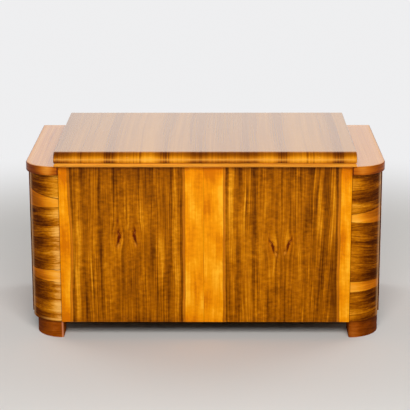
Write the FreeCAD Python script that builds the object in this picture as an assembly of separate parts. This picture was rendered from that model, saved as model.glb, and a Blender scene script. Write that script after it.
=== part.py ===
import FreeCAD, Part
import math
import os
from collections import namedtuple

# Blanket chest with quarter-round front pillars, a raised lid with a rolled front edge
# and a lower fixed cap on each side of the lid.
# Millimetres. +X is right as seen from the front, the front faces -Y, +Z is up.
# The origin is on the floor, midway between the ends and midway between the lid's front
# edge and the back of the caps.

# Overall sizes
cap_span = 1000.0
body_depth = 528.0
cap_top_height = 500.0
foot_height = 48.0

# Boards and veneers
panel_thickness = 15.0
shell_thickness = 10.0
veneer_thickness = 1.0
glue_line = 0.2

# Front leaves
leaf_width = 213.5
leaf_shift = -4.5

# Pillars
pillar_radius = 86.0
pillar_front_flat = 2.5
pillar_side_flat = 13.0

# Caps
cap_thickness = 24.0
cap_end_overhang = 2.5
cap_front_overhang = 10.0
cap_corner_radius = 84.0
lipping_width = 10.0
lipping_top_rounding = 4.5
lipping_bottom_rounding = 1.5

# Base
base_thickness = 12.0
base_clearance = 0.3
cleat_size = 18.0
block_reach = 21.0

# Posts and bearers inside the case
stile_lap = 20.0
stile_reach = 24.0
stile_depth = 25.0
post_size = 30.0
post_lap = 13.0
bearer_thickness = 24.0
bearer_height = 60.0

# Back
back_thickness = 9.0
hinge_rail_height = 60.0
hinge_rail_thickness = 30.0
back_rebate = 12.0

# Feet
foot_front_inset = 0.5
left_foot_inset = 12.0
left_foot_radius = 80.0
right_foot_inset = 0.5
right_foot_radius = 88.0
foot_rounding = 6.0
rear_foot_size = 80.0
rear_foot_inset = 5.0
dowel_radius = 4.0
dowel_in_foot = 20.0
dowel_in_case = 14.0
dowel_fit = 0.1
dowel_circle = 49.0
dowel_turn = 25.0

# Lid
lid_upper_thickness = 29.5
lid_front_overhang = 18.0
lid_end_overhang = 11.0
lid_end_rounding = 3.5
lid_leaf_joint = 51.0
nose_top_radius = 21.0
nosing_width = 62.0
nosing_top_flat = 6.0
lid_panel_thickness = 6.0
lid_rail_width = 60.0
bead_height = 10.5
bead_front_setback = 0.5
bead_end_setback = 0.5
bead_strip_width = 26.0
lining_thickness = 4.0
lining_clearance = 0.3
lid_open_angle = 100.0

# Hinges
hinge_length = 63.0
hinge_from_end = 145.0
leaf_reach = 18.0
leaf_thickness = 1.5
leaf_gap = 0.1
knuckle_radius = 3.0
knuckle_count = 5
knuckle_gap = 0.1
knuckle_clearance = 0.2
wall_clearance = 0.3
pin_radius = 1.5
pin_seat = 0.02
pin_running = 0.05
pin_head_radius = 2.2
pin_head_length = 1.0
mortise_clearance = 0.2
hinge_screw_pitch = 20.0
hinge_screws_per_leaf = 3

# Lid stay
stay_pivot_distance = 160.0
stay_lid_drop = 12.0
stay_case_drop = 48.0
stay_plate_thickness = 2.0
stay_arm_thickness = 2.0
stay_arm_half_width = 8.0
stay_arm_standoff = 4.0
stay_side_gap = 0.3
stay_pin_radius = 3.0
stay_slot_fit = 0.15
stay_pivot_running = 0.05
stay_shoulder_radius = 5.0
stay_head_radius = 6.0
stay_head_length = 1.8
stay_anchor_length = 38.0
stay_anchor_height = 26.0
stay_flange_length = 52.0
stay_flange_margin = 1.0
stay_screw_margin = 8.0

# Screws and panel pins
screw_head_radius = 3.0
screw_head_height = 1.5
screw_radius = 1.5
screw_length = 16.0
screw_tip_length = 4.0
screw_tip_radius = 0.3
screw_slot_width = 0.8
screw_slot_depth = 0.7
nail_head_radius = 2.0
nail_head_thickness = 0.8
nail_radius = 0.9
nail_length = 20.0
nail_pitch = 100.0
nail_side_margin = 60.0
nail_end_margin = 25.0
hole_fit = 0.1

# Places worked out from the sizes
cap_half = cap_span / 2
y_face = (lid_front_overhang - body_depth) / 2
y_back = (lid_front_overhang + body_depth) / 2
back_inset = 2 * knuckle_radius + knuckle_clearance + wall_clearance
y_rear = y_back - back_inset
panel_proud = panel_thickness - shell_thickness
end_face = cap_half - cap_end_overhang
case_half = end_face - panel_thickness
pillar_side = end_face - panel_proud
y_pillar = y_face + panel_proud
y_inside = y_face + panel_thickness
x_arc = pillar_side - pillar_radius
y_arc = y_pillar + pillar_radius
front_half = x_arc - pillar_front_flat
y_end_edge = y_arc + pillar_side_flat
y_panel_front = y_rear - back_thickness
y_rail_front = y_rear - hinge_rail_thickness
z_base_bottom = foot_height + cleat_size
z_base_top = z_base_bottom + base_thickness
z_cap_bottom = cap_top_height - cap_thickness
z_rail_bottom = cap_top_height - hinge_rail_height
z_rebate_top = z_rail_bottom + back_rebate
x_block = front_half - stile_lap
y_block_end = y_end_edge + block_reach
y_stile_back = y_inside + stile_depth

z_lid = cap_top_height
z_bead_top = z_lid + bead_height
z_lid_top = z_bead_top + lid_upper_thickness
z_panel_top = z_lid_top - veneer_thickness
z_panel_bottom = z_panel_top - lid_panel_thickness
lid_half = front_half + lid_end_overhang
y_nose = y_face - lid_front_overhang
nose_bottom_radius = lid_upper_thickness - nose_top_radius
y_panel_edge = y_nose + nose_top_radius + nosing_top_flat
y_nosing_back = y_nose + nosing_width
y_lid_rail = y_rear - lid_rail_width
bead_half = lid_half - bead_end_setback
bead_inner = bead_half - bead_strip_width
y_bead = y_nose + bead_front_setback
y_bead_inner = y_bead + bead_strip_width
y_tongue = y_rear - bead_strip_width

y_axis = y_rear + knuckle_radius + knuckle_clearance
z_axis = cap_top_height
x_hinge = lid_half - hinge_from_end
hinge_places = (("left", -x_hinge), ("right", x_hinge))
y_hinge_screw = (y_axis - leaf_reach + y_rear) / 2

# Both stay pivots are equally far from the hinge axis, so the arm turns at half the lid's angle.
y_lid_pivot = y_axis - math.sqrt(stay_pivot_distance ** 2 - stay_lid_drop ** 2)
z_lid_pivot = z_axis - stay_lid_drop
y_case_pin = y_axis - math.sqrt(stay_pivot_distance ** 2 - stay_case_drop ** 2)
z_case_pin = z_axis - stay_case_drop
stay_rest_angle = (
    math.asin(stay_case_drop / stay_pivot_distance)
    - math.asin(stay_lid_drop / stay_pivot_distance)
)
stay_open_angle = stay_rest_angle + math.radians(lid_open_angle)
stay_slot_start = 2 * stay_pivot_distance * math.sin(stay_rest_angle / 2)
stay_slot_end = 2 * stay_pivot_distance * math.sin(stay_open_angle / 2)
x_anchor = front_half - stay_plate_thickness
x_arm_outer = x_anchor - stay_arm_standoff
x_arm_inner = x_arm_outer - stay_arm_thickness
x_tab_inner = x_arm_outer + stay_side_gap
x_tab_outer = x_tab_inner + stay_plate_thickness
x_flange = bead_inner + stay_flange_margin
x_flange_screw = (x_flange + x_arm_inner) / 2
z_flange = z_lid - stay_plate_thickness

# A front corner seen from above: a straight front, a quarter round and a straight side.
Corner = namedtuple("Corner", "x_start y_front x_side radius y_end")
pillar_corner = Corner(front_half, y_pillar, pillar_side, pillar_radius, y_end_edge)
inner_corner = Corner(x_block, y_pillar, pillar_side, pillar_radius, y_block_end)
cap_corner = Corner(front_half, y_face - cap_front_overhang, cap_half, cap_corner_radius, y_back)

UP = FreeCAD.Vector(0, 0, 1)
DOWN = FreeCAD.Vector(0, 0, -1)
RIGHT = FreeCAD.Vector(1, 0, 0)
FORWARD = FreeCAD.Vector(0, -1, 0)
HALF_RIGHT_ANGLE = math.radians(45)
TOLERANCE = 1e-4
LARGEST_ROUNDING_SHARE = 0.45

nodes = {}


def vector(x, y, z):
    return FreeCAD.Vector(x, y, z)


def box(x0, x1, y0, y1, z0, z1):
    return Part.makeBox(x1 - x0, y1 - y0, z1 - z0, vector(x0, y0, z0))


def chain(points):
    """Edges along the points, where a triple of points is an arc and a zero length is left out."""
    edges = []
    for start, *middle, end in points:
        if middle:
            edges.append(Part.Arc(start, middle[0], end).toShape())
        elif start.distanceToPoint(end) > TOLERANCE:
            edges.append(Part.LineSegment(start, end).toShape())
    return edges


def prism(edges, travel):
    return Part.Face(Part.Wire(edges)).extrude(travel)


def polygon(points):
    return Part.makePolygon(list(points) + [points[0]]).Edges


def mirrored(shape):
    return shape.mirror(vector(0, 0, 0), RIGHT)


def both_sides(name, right_shape):
    nodes[name + "_right"] = right_shape
    nodes[name + "_left"] = mirrored(right_shape)


def group(solids):
    return Part.makeCompound(solids)


def turned(profile, point, direction):
    """Solid of revolution from (radius, distance along direction) pairs, starting at point."""
    outline = polygon([vector(radius, 0, along) for radius, along in profile])
    solid = Part.Face(Part.Wire(outline)).revolve(vector(0, 0, 0), UP, 360)
    solid.Placement = FreeCAD.Placement(point, FreeCAD.Rotation(UP, direction))
    return solid


def rod(radius, point, direction, length):
    return Part.makeCylinder(radius, length, point, direction)


# Plan outlines round a front corner

def corner_points(corner, inset, z):
    radius = corner.radius - inset
    x_centre = corner.x_side - corner.radius
    y_centre = corner.y_front + corner.radius
    lean = radius * math.cos(HALF_RIGHT_ANGLE)
    return (
        vector(corner.x_start, corner.y_front + inset, z),
        vector(x_centre, corner.y_front + inset, z),
        vector(x_centre + lean, y_centre - lean, z),
        vector(corner.x_side - inset, y_centre, z),
        vector(corner.x_side - inset, corner.y_end, z),
    )


def corner_band(corner, outer, inner, z0, z1):
    a = corner_points(corner, outer, z0)
    b = corner_points(corner, inner, z0)
    edges = chain([
        (a[0], a[1]), (a[1], a[2], a[3]), (a[3], a[4]), (a[4], b[4]),
        (b[4], b[3]), (b[3], b[2], b[1]), (b[1], b[0]), (b[0], a[0]),
    ])
    return prism(edges, UP * (z1 - z0))


def corner_fill(corner, inset, z0, z1):
    a = corner_points(corner, inset, z0)
    back = vector(corner.x_start, corner.y_end, z0)
    edges = chain([(a[0], a[1]), (a[1], a[2], a[3]), (a[3], a[4]), (a[4], back), (back, a[0])])
    return prism(edges, UP * (z1 - z0))


def inset_of(corner, point):
    """How far inside the corner's outline a point lies."""
    x_centre = corner.x_side - corner.radius
    y_centre = corner.y_front + corner.radius
    if point.x > x_centre and point.y < y_centre:
        return corner.radius - math.hypot(point.x - x_centre, point.y - y_centre)
    return min(point.y - corner.y_front, corner.x_side - point.x)


# Choosing edges to round

def is_level(edge):
    return abs(edge.Vertexes[0].Z - edge.Vertexes[-1].Z) < TOLERANCE


def middle_of(edge):
    return edge.valueAt((edge.FirstParameter + edge.LastParameter) / 2)


def upright_edges(shape, places):
    """Vertical edges that stand at the given (x, y) places."""
    upright = [edge for edge in shape.Edges if not is_level(edge)]
    return [
        edge for edge in upright
        if any(math.hypot(middle_of(edge).x - x, middle_of(edge).y - y) < TOLERANCE for x, y in places)
    ]


# Screws, nails and dowels

def screw_profile(fit):
    end = screw_length + fit
    return [
        (0, 0),
        (screw_head_radius + fit, 0),
        (screw_radius + fit, screw_head_height),
        (screw_radius + fit, end - screw_tip_length),
        (screw_tip_radius + fit, end),
        (0, end),
    ]


def screw(point, direction):
    solid = turned(screw_profile(0), vector(0, 0, 0), UP)
    slot = box(
        -screw_slot_width / 2, screw_slot_width / 2,
        -screw_head_radius, screw_head_radius,
        0, screw_slot_depth,
    )
    solid = solid.cut(slot)
    solid.Placement = FreeCAD.Placement(point, FreeCAD.Rotation(UP, direction))
    return solid


def screw_hole(point, direction):
    return turned(screw_profile(hole_fit), point, direction)


def nail_profile(fit):
    return [
        (0, 0),
        (nail_head_radius + fit, 0),
        (nail_head_radius + fit, nail_head_thickness),
        (nail_radius + fit, nail_head_thickness),
        (nail_radius + fit, nail_length + fit),
        (0, nail_length + fit),
    ]


def even_places(low, high, pitch):
    steps = max(1, round((high - low) / pitch))
    return [low + (high - low) * step / steps for step in range(steps + 1)]


# Front panel and its four book-matched leaves

def make_front():
    nodes["front_panel"] = box(
        -front_half, front_half,
        y_face + veneer_thickness, y_inside,
        foot_height, cap_top_height,
    )
    joints = [leaf_shift + step * leaf_width for step in (-1, 0, 1)]
    bounds = [-front_half] + joints + [front_half]
    for number, (x0, x1) in enumerate(zip(bounds, bounds[1:]), start=1):
        nodes[f"front_leaf_{number}"] = box(
            x0, x1, y_face, y_face + veneer_thickness, foot_height, cap_top_height
        )


# End panels and corner pillars

def make_ends_and_pillars():
    x_core = end_face - veneer_thickness
    both_sides("end_panel", box(case_half, x_core, y_end_edge, y_rear, foot_height, z_cap_bottom))
    both_sides("end_veneer", box(x_core, end_face, y_end_edge, y_rear, foot_height, z_cap_bottom))
    both_sides(
        "pillar_shell",
        corner_band(pillar_corner, veneer_thickness, shell_thickness, foot_height, z_cap_bottom),
    )
    both_sides(
        "pillar_veneer",
        corner_band(pillar_corner, 0, veneer_thickness, foot_height, z_cap_bottom),
    )


# Posts inside the case, behind the joints of front, pillar, end and back

def make_posts(nail_holes):
    corner = corner_fill(inner_corner, shell_thickness + glue_line, z_base_top, z_cap_bottom)
    front_zone = box(x_block, x_arc + stile_reach, y_face, y_stile_back, 0, cap_top_height)
    both_sides("front_stile", corner.common(front_zone))
    end_zone = box(
        case_half - post_size, case_half,
        y_arc - post_lap, y_block_end,
        0, cap_top_height,
    )
    both_sides("end_stile", corner.common(end_zone))
    rear = box(
        case_half - post_size, case_half - glue_line,
        y_panel_front - post_size, y_panel_front,
        z_base_top, z_rail_bottom,
    )
    both_sides("rear_stile", rear.cut(nail_holes))


# Base panel on battens, with a block in the foot of each pillar

def make_base(nail_holes, dowel_holes):
    inset = shell_thickness + base_clearance
    outline = inner_corner._replace(x_start=0.0, y_end=y_panel_front - base_clearance)
    half = corner_fill(outline, inset, z_base_bottom, z_base_top)
    nodes["base_panel"] = half.fuse(mirrored(half)).removeSplitter()

    block = corner_fill(inner_corner, shell_thickness + glue_line, foot_height, z_base_bottom)
    both_sides("corner_block", block.cut(dowel_holes))

    y_rear_cleat = y_panel_front - cleat_size
    front = box(-x_block, x_block, y_inside, y_inside + cleat_size, foot_height, z_base_bottom)
    rear = box(-case_half, case_half, y_rear_cleat, y_panel_front, foot_height, z_base_bottom)
    side = box(
        case_half - cleat_size, case_half,
        y_block_end, y_rear_cleat,
        foot_height, z_base_bottom,
    )
    side = side.cut(dowel_holes)
    rear = rear.cut(nail_holes + dowel_holes)
    nodes["base_cleats"] = group([front, rear, side, mirrored(side)])


# Back panel, and the rail along its top that carries the hinges

def make_back(nail_holes, hinge_screw_holes):
    panel = box(-case_half, case_half, y_panel_front, y_rear, foot_height, z_rebate_top)
    nodes["back_panel"] = panel.cut(nail_holes)

    rail = box(-case_half, case_half, y_rail_front, y_rear, z_rail_bottom, z_cap_bottom)
    raised = box(-front_half, front_half, y_rail_front, y_rear, z_cap_bottom, cap_top_height)
    rail = rail.fuse(raised).removeSplitter()
    rebate = box(-case_half, case_half, y_panel_front, y_rear, z_rail_bottom, z_rebate_top)
    mortises = [leaf_mortise(x, z_axis - leaf_gap - leaf_thickness, z_axis) for _, x in hinge_places]
    nodes["hinge_rail"] = rail.cut([rebate] + mortises + nail_holes + hinge_screw_holes)


def leaf_mortise(x, z0, z1):
    reach = hinge_length / 2 + mortise_clearance
    return box(x - reach, x + reach, y_axis - leaf_reach - mortise_clearance, y_rear, z0, z1)


def back_nails():
    """Starting points of the panel pins: both sides, top and bottom of the back panel."""
    x_side = case_half - post_size / 2
    z_low = z_base_top + nail_end_margin
    z_high = z_rail_bottom - nail_end_margin
    x_end = case_half - nail_side_margin
    points = [
        vector(x, y_rear, z)
        for x in (-x_side, x_side)
        for z in even_places(z_low, z_high, nail_pitch)
    ]
    points += [
        vector(x, y_rear, z)
        for z in (foot_height + cleat_size / 2, z_rail_bottom + back_rebate / 2)
        for x in even_places(-x_end, x_end, nail_pitch)
    ]
    return points


# Caps each side of the lid, and the bearers under their inner edges

def outer_rim(lipping, z):
    """Edges of the lipping's outer outline at a height."""
    middles = [(edge, middle_of(edge)) for edge in lipping.Edges if is_level(edge)]
    return [
        edge for edge, middle in middles
        if abs(middle.z - z) < TOLERANCE and inset_of(cap_corner, middle) < TOLERANCE
    ]


def make_caps(anchor_screw_holes):
    z_core_top = cap_top_height - veneer_thickness
    both_sides("cap_core", corner_fill(cap_corner, lipping_width, z_cap_bottom, z_core_top))
    both_sides("cap_veneer", corner_fill(cap_corner, lipping_width, z_core_top, cap_top_height))
    lipping = corner_band(cap_corner, 0, lipping_width, z_cap_bottom, cap_top_height)
    for z, rounding in ((cap_top_height, lipping_top_rounding), (z_cap_bottom, lipping_bottom_rounding)):
        radius = min(rounding, LARGEST_ROUNDING_SHARE * lipping_width)
        lipping = lipping.makeFillet(radius, outer_rim(lipping, z))
    both_sides("cap_lipping", lipping)

    bearer = box(
        front_half, front_half + bearer_thickness,
        y_stile_back, y_rail_front,
        z_cap_bottom - bearer_height, z_cap_bottom,
    )
    nodes["cap_bearer_left"] = mirrored(bearer)
    nodes["cap_bearer_right"] = bearer.cut(anchor_screw_holes)


# Feet and the dowels that hold them

def dowel_points():
    turns = (math.radians(dowel_turn), math.radians(90 - dowel_turn))
    front = [
        (x_arc + dowel_circle * math.sin(turn), y_arc - dowel_circle * math.cos(turn))
        for turn in turns
    ]
    x_foot = end_face - rear_foot_inset - rear_foot_size / 2
    y_foot = y_rear - rear_foot_inset - rear_foot_size / 2
    rear = [(case_half - cleat_size / 2, y_foot), (x_foot, y_panel_front - cleat_size / 2)]
    return front + rear


def dowels(fit):
    low = foot_height - dowel_in_foot - fit
    length = dowel_in_foot + dowel_in_case + 2 * fit
    right = [rod(dowel_radius + fit, vector(x, y, low), UP, length) for x, y in dowel_points()]
    return right + [mirrored(dowel) for dowel in right]


def front_foot(inset, radius):
    """Quarter-round block under the right-hand pillar."""
    x_outer = pillar_side - inset
    x_inner = x_outer - radius
    y_front = y_pillar + foot_front_inset
    y_rear_face = y_front + radius
    foot = corner_fill(Corner(x_inner, y_front, x_outer, radius, y_rear_face), 0, 0, foot_height)
    arrises = [(x_inner, y_front), (x_outer, y_rear_face), (x_inner, y_rear_face)]
    return foot.makeFillet(foot_rounding, upright_edges(foot, arrises))


def make_feet(dowel_holes):
    left = mirrored(front_foot(left_foot_inset, left_foot_radius))
    right = front_foot(right_foot_inset, right_foot_radius)
    nodes["foot_front_left"] = left.cut(dowel_holes)
    nodes["foot_front_right"] = right.cut(dowel_holes)

    x_outer = end_face - rear_foot_inset
    y_outer = y_rear - rear_foot_inset
    x_inner = x_outer - rear_foot_size
    y_inner = y_outer - rear_foot_size
    rear = box(x_inner, x_outer, y_inner, y_outer, 0, foot_height)
    corners = [(x, y) for x in (x_inner, x_outer) for y in (y_inner, y_outer)]
    rear = rear.makeFillet(foot_rounding, upright_edges(rear, corners))
    both_sides("foot_rear", rear.cut(dowel_holes))
    nodes["foot_dowels"] = group(dowels(0))


# Lid: section points of its rolled front edge, at a given depth under the finished surface

def nose_points(inset, x):
    z_turn = z_lid_top - nose_top_radius
    top = nose_top_radius - inset
    bottom = nose_bottom_radius - inset
    y_top = y_nose + nose_top_radius
    y_bottom = y_nose + nose_bottom_radius
    lean = math.cos(HALF_RIGHT_ANGLE)
    return (
        vector(x, y_top, z_lid_top - inset),
        vector(x, y_top - top * lean, z_turn + top * lean),
        vector(x, y_nose + inset, z_turn),
        vector(x, y_bottom - bottom * lean, z_turn - bottom * lean),
        vector(x, y_bottom, z_bead_top + inset),
    )


def lid_outline():
    """Block as long as the lid, with the top and front arrises of its ends rounded over."""
    nose = nose_points(0, -lid_half)
    front_low = vector(-lid_half, y_nose, z_lid)
    back_low = vector(-lid_half, y_rear, z_lid)
    back_high = vector(-lid_half, y_rear, z_lid_top)
    edges = chain([
        (back_high, nose[0]), (nose[0], nose[1], nose[2]), (nose[2], front_low),
        (front_low, back_low), (back_low, back_high),
    ])
    block = prism(edges, RIGHT * (2 * lid_half))
    middles = [(edge, middle_of(edge)) for edge in block.Edges]
    arrises = [
        edge for edge, middle in middles
        if abs(abs(middle.x) - lid_half) < TOLERANCE
        and middle.y < y_rear - TOLERANCE
        and middle.z > z_lid + TOLERANCE
    ]
    return block.makeFillet(lid_end_rounding, arrises)


def lid_veneer(x0, x1):
    a = nose_points(0, x0)
    b = nose_points(veneer_thickness, x0)
    a_back = vector(x0, y_rear, z_lid_top)
    b_back = vector(x0, y_rear, z_panel_top)
    edges = chain([
        (a_back, a[0]), (a[0], a[1], a[2]), (a[2], a[3], a[4]), (a[4], b[4]),
        (b[4], b[3], b[2]), (b[2], b[1], b[0]), (b[0], b_back), (b_back, a_back),
    ])
    return prism(edges, RIGHT * (x1 - x0))


def nosing(half):
    b = nose_points(veneer_thickness, -half)
    foot = vector(-half, y_nose + nose_bottom_radius, z_bead_top)
    back_low = vector(-half, y_nosing_back, z_bead_top)
    back_high = vector(-half, y_nosing_back, z_panel_bottom)
    seat = vector(-half, y_panel_edge, z_panel_bottom)
    lip = vector(-half, y_panel_edge, z_panel_top)
    edges = chain([
        (lip, b[0]), (b[0], b[1], b[2]), (b[2], b[3], b[4]), (b[4], foot),
        (foot, back_low), (back_low, back_high), (back_high, seat), (seat, lip),
    ])
    return prism(edges, RIGHT * (2 * half))


def bead_section(origin, inwards):
    """Strip with a half-round outer edge, drawn from its outermost low point towards inwards."""
    radius = bead_height / 2
    low = origin + inwards * radius
    high = low + UP * bead_height
    inner_low = origin + inwards * bead_strip_width
    inner_high = inner_low + UP * bead_height
    return chain([
        (low, origin + UP * radius, high), (high, inner_high),
        (inner_high, inner_low), (inner_low, low),
    ])


def mitre_waste(third):
    """Corner of a bead strip that its mitre takes off, on the side of the third point."""
    corner = vector(bead_half, y_bead, z_lid)
    inner = vector(bead_inner, y_bead_inner, z_lid)
    return prism(polygon([corner, third, inner]), UP * bead_height)


def front_bead():
    start = vector(-bead_half, y_bead, z_lid)
    strip = prism(bead_section(start, -FORWARD), RIGHT * (2 * bead_half))
    waste = mitre_waste(vector(bead_half, y_bead_inner, z_lid))
    return strip.cut([waste, mirrored(waste)])


def side_bead():
    start = vector(bead_half, y_bead, z_lid)
    strip = prism(bead_section(start, -RIGHT), -FORWARD * (y_rear - y_bead))
    return strip.cut(mitre_waste(vector(bead_inner, y_bead, z_lid)))


def make_lid(hinge_screw_holes, bracket_screw_holes):
    outline = lid_outline()
    uncut = lid_half + lid_end_rounding
    panel = box(-uncut, uncut, y_panel_edge, y_rear, z_panel_bottom, z_panel_top)
    nodes["lid_leaf_left"] = lid_veneer(-uncut, lid_leaf_joint).common(outline)
    nodes["lid_leaf_right"] = lid_veneer(lid_leaf_joint, uncut).common(outline)
    nodes["lid_nosing"] = nosing(uncut).common(outline)
    nodes["lid_top_panel"] = panel.common(outline)
    end_rail = box(
        lid_half - lid_rail_width, lid_half,
        y_nosing_back, y_lid_rail,
        z_bead_top, z_panel_bottom,
    )
    nodes["lid_end_rail_left"] = mirrored(end_rail)
    nodes["lid_end_rail_right"] = end_rail.cut(bracket_screw_holes)

    back_rail = box(-lid_half, lid_half, y_lid_rail, y_rear, z_bead_top, z_panel_bottom)
    tongue = box(-bead_inner, bead_inner, y_tongue, y_rear, z_lid, z_bead_top)
    mortises = [leaf_mortise(x, z_axis, z_axis + leaf_gap + leaf_thickness) for _, x in hinge_places]
    back_rail = back_rail.fuse(tongue).removeSplitter()
    nodes["lid_back_rail"] = back_rail.cut(mortises + hinge_screw_holes)

    nodes["lid_bead_front"] = front_bead()
    nodes["lid_bead_left"] = mirrored(side_bead())
    nodes["lid_bead_right"] = side_bead().cut(bracket_screw_holes)
    nodes["lid_lining"] = box(
        -bead_inner + lining_clearance, bead_inner - lining_clearance,
        y_bead_inner + lining_clearance, y_tongue - lining_clearance,
        z_bead_top - lining_thickness, z_bead_top,
    )


# Butt hinges

def hinge_screw_points(z):
    offsets = [step - (hinge_screws_per_leaf - 1) / 2 for step in range(hinge_screws_per_leaf)]
    return [
        vector(x + offset * hinge_screw_pitch, y_hinge_screw, z)
        for _, x in hinge_places
        for offset in offsets
    ]


def hinge_leaf(x, z0, first_knuckle, bore_fit, screw_holes):
    """Flat leaf with every second knuckle, starting at the given one."""
    x_start = x - hinge_length / 2
    step = hinge_length / knuckle_count
    leaf = box(x_start, x_start + hinge_length, y_axis - leaf_reach, y_rear, z0, z0 + leaf_thickness)
    pieces = []
    for number in range(first_knuckle, knuckle_count, 2):
        x0 = x_start + number * step + knuckle_gap
        x1 = x_start + (number + 1) * step - knuckle_gap
        pieces.append(box(x0, x1, y_rear, y_axis, z0, z0 + leaf_thickness))
        pieces.append(rod(knuckle_radius, vector(x0, y_axis, z_axis), RIGHT, x1 - x0))
    leaf = leaf.fuse(pieces).removeSplitter()
    bore = rod(pin_radius + bore_fit, vector(x_start, y_axis, z_axis), RIGHT, hinge_length)
    return leaf.cut([bore] + screw_holes)


def hinge_pin(x):
    half = hinge_length / 2
    pin = [
        rod(pin_radius, vector(x - half, y_axis, z_axis), RIGHT, hinge_length),
        rod(pin_head_radius, vector(x + half, y_axis, z_axis), RIGHT, pin_head_length),
        rod(pin_head_radius, vector(x - half, y_axis, z_axis), -RIGHT, pin_head_length),
    ]
    return pin[0].fuse(pin[1:]).removeSplitter()


def make_hinges(lower_holes, upper_holes):
    z_lower = z_axis - leaf_gap - leaf_thickness
    z_upper = z_axis + leaf_gap
    for side, x in hinge_places:
        nodes[f"hinge_{side}_lower_leaf"] = hinge_leaf(x, z_lower, 0, pin_seat, lower_holes)
        nodes[f"hinge_{side}_upper_leaf"] = hinge_leaf(x, z_upper, 1, pin_running, upper_holes)
    nodes["hinge_pins"] = group([hinge_pin(x) for _, x in hinge_places])


# Slotted lid stay on the right-hand side

def anchor_screw_points():
    reach = stay_anchor_length / 2 - stay_screw_margin
    return [vector(x_anchor, y_case_pin + way * reach, z_case_pin) for way in (-1, 1)]


def bracket_screw_points():
    reach = stay_flange_length / 2 - stay_screw_margin
    return [vector(x_flange_screw, y_lid_pivot + way * reach, z_flange) for way in (-1, 1)]


def make_stay_anchor(screw_holes):
    plate = box(
        x_anchor, front_half,
        y_case_pin - stay_anchor_length / 2, y_case_pin + stay_anchor_length / 2,
        z_case_pin - stay_anchor_height / 2, z_case_pin + stay_anchor_height / 2,
    )
    shoulder_end = stay_arm_standoff - stay_side_gap
    pin_end = stay_arm_standoff + stay_arm_thickness + stay_side_gap
    head_end = pin_end + stay_head_length
    stud = turned(
        [
            (0, 0),
            (stay_shoulder_radius, 0),
            (stay_shoulder_radius, shoulder_end),
            (stay_pin_radius, shoulder_end),
            (stay_pin_radius, pin_end),
            (stay_head_radius, pin_end),
            (stay_head_radius, head_end),
            (0, head_end),
        ],
        vector(x_anchor, y_case_pin, z_case_pin),
        -RIGHT,
    )
    nodes["stay_anchor"] = plate.fuse(stud).removeSplitter().cut(screw_holes)


def make_stay_bracket(screw_holes):
    flange = box(
        x_flange, x_tab_outer,
        y_lid_pivot - stay_flange_length / 2, y_lid_pivot + stay_flange_length / 2,
        z_flange, z_lid,
    )
    tab = box(
        x_tab_inner, x_tab_outer,
        y_lid_pivot - stay_arm_half_width, y_lid_pivot + stay_arm_half_width,
        z_lid_pivot, z_flange,
    )
    pivot = vector(x_tab_inner, y_lid_pivot, z_lid_pivot)
    tab_end = rod(stay_arm_half_width, pivot, RIGHT, stay_plate_thickness)
    pin_end = stay_side_gap + stay_arm_thickness + stay_side_gap
    head_end = pin_end + stay_head_length
    rivet = turned(
        [
            (0, 0),
            (stay_pin_radius, 0),
            (stay_pin_radius, pin_end),
            (stay_head_radius, pin_end),
            (stay_head_radius, head_end),
            (0, head_end),
        ],
        pivot,
        -RIGHT,
    )
    bracket = flange.fuse([tab, tab_end, rivet]).removeSplitter()
    nodes["stay_bracket"] = bracket.cut(screw_holes)


def bar(half_width, start, end, x0, x1):
    """Flat bar with round ends, along +Y from start to end between the end centres."""
    low_start = vector(x0, start, -half_width)
    low_end = vector(x0, end, -half_width)
    high_start = vector(x0, start, half_width)
    high_end = vector(x0, end, half_width)
    edges = chain([
        (low_start, low_end),
        (low_end, vector(x0, end + half_width, 0), high_end),
        (high_end, high_start),
        (high_start, vector(x0, start - half_width, 0), low_start),
    ])
    return prism(edges, RIGHT * (x1 - x0))


def make_stay_arm():
    slot_half = stay_pin_radius + stay_slot_fit
    arm = bar(stay_arm_half_width, 0, stay_slot_end, x_arm_inner, x_arm_outer)
    slot = bar(slot_half, stay_slot_start, stay_slot_end, x_arm_inner, x_arm_outer)
    hole_radius = stay_pin_radius + stay_pivot_running
    hole = rod(hole_radius, vector(x_arm_inner, 0, 0), RIGHT, stay_arm_thickness)
    arm = arm.cut([slot, hole])
    lean = math.atan2(z_case_pin - z_lid_pivot, y_case_pin - y_lid_pivot)
    arm.rotate(vector(0, 0, 0), RIGHT, math.degrees(lean))
    arm.translate(vector(0, y_lid_pivot, z_lid_pivot))
    nodes["stay_arm"] = arm


# Assembly

def main():
    os.makedirs("parts", exist_ok=True)
    nails = back_nails()
    nail_holes = [turned(nail_profile(hole_fit), point, FORWARD) for point in nails]
    dowel_holes = dowels(dowel_fit)
    lower_screws = [(point, DOWN) for point in hinge_screw_points(z_axis - leaf_gap)]
    upper_screws = [(point, UP) for point in hinge_screw_points(z_axis + leaf_gap)]
    anchor_screws = [(point, RIGHT) for point in anchor_screw_points()]
    bracket_screws = [(point, UP) for point in bracket_screw_points()]
    lower_holes = [screw_hole(*place) for place in lower_screws]
    upper_holes = [screw_hole(*place) for place in upper_screws]
    anchor_holes = [screw_hole(*place) for place in anchor_screws]
    bracket_holes = [screw_hole(*place) for place in bracket_screws]

    make_front()
    make_ends_and_pillars()
    make_posts(nail_holes)
    make_base(nail_holes, dowel_holes)
    make_back(nail_holes, lower_holes)
    make_caps(anchor_holes)
    make_feet(dowel_holes)
    make_lid(upper_holes, bracket_holes)
    make_hinges(lower_holes, upper_holes)
    make_stay_anchor(anchor_holes)
    make_stay_bracket(bracket_holes)
    make_stay_arm()
    nodes["back_panel_nails"] = group([turned(nail_profile(0), point, FORWARD) for point in nails])
    nodes["carcass_screws"] = group([screw(*place) for place in lower_screws + anchor_screws])
    nodes["lid_screws"] = group([screw(*place) for place in upper_screws + bracket_screws])

    for name, shape in nodes.items():
        shape.exportStep(f"parts/{name}.step")


main()
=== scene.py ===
import math
from types import SimpleNamespace

import bpy
from mathutils import Matrix, Vector


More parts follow.
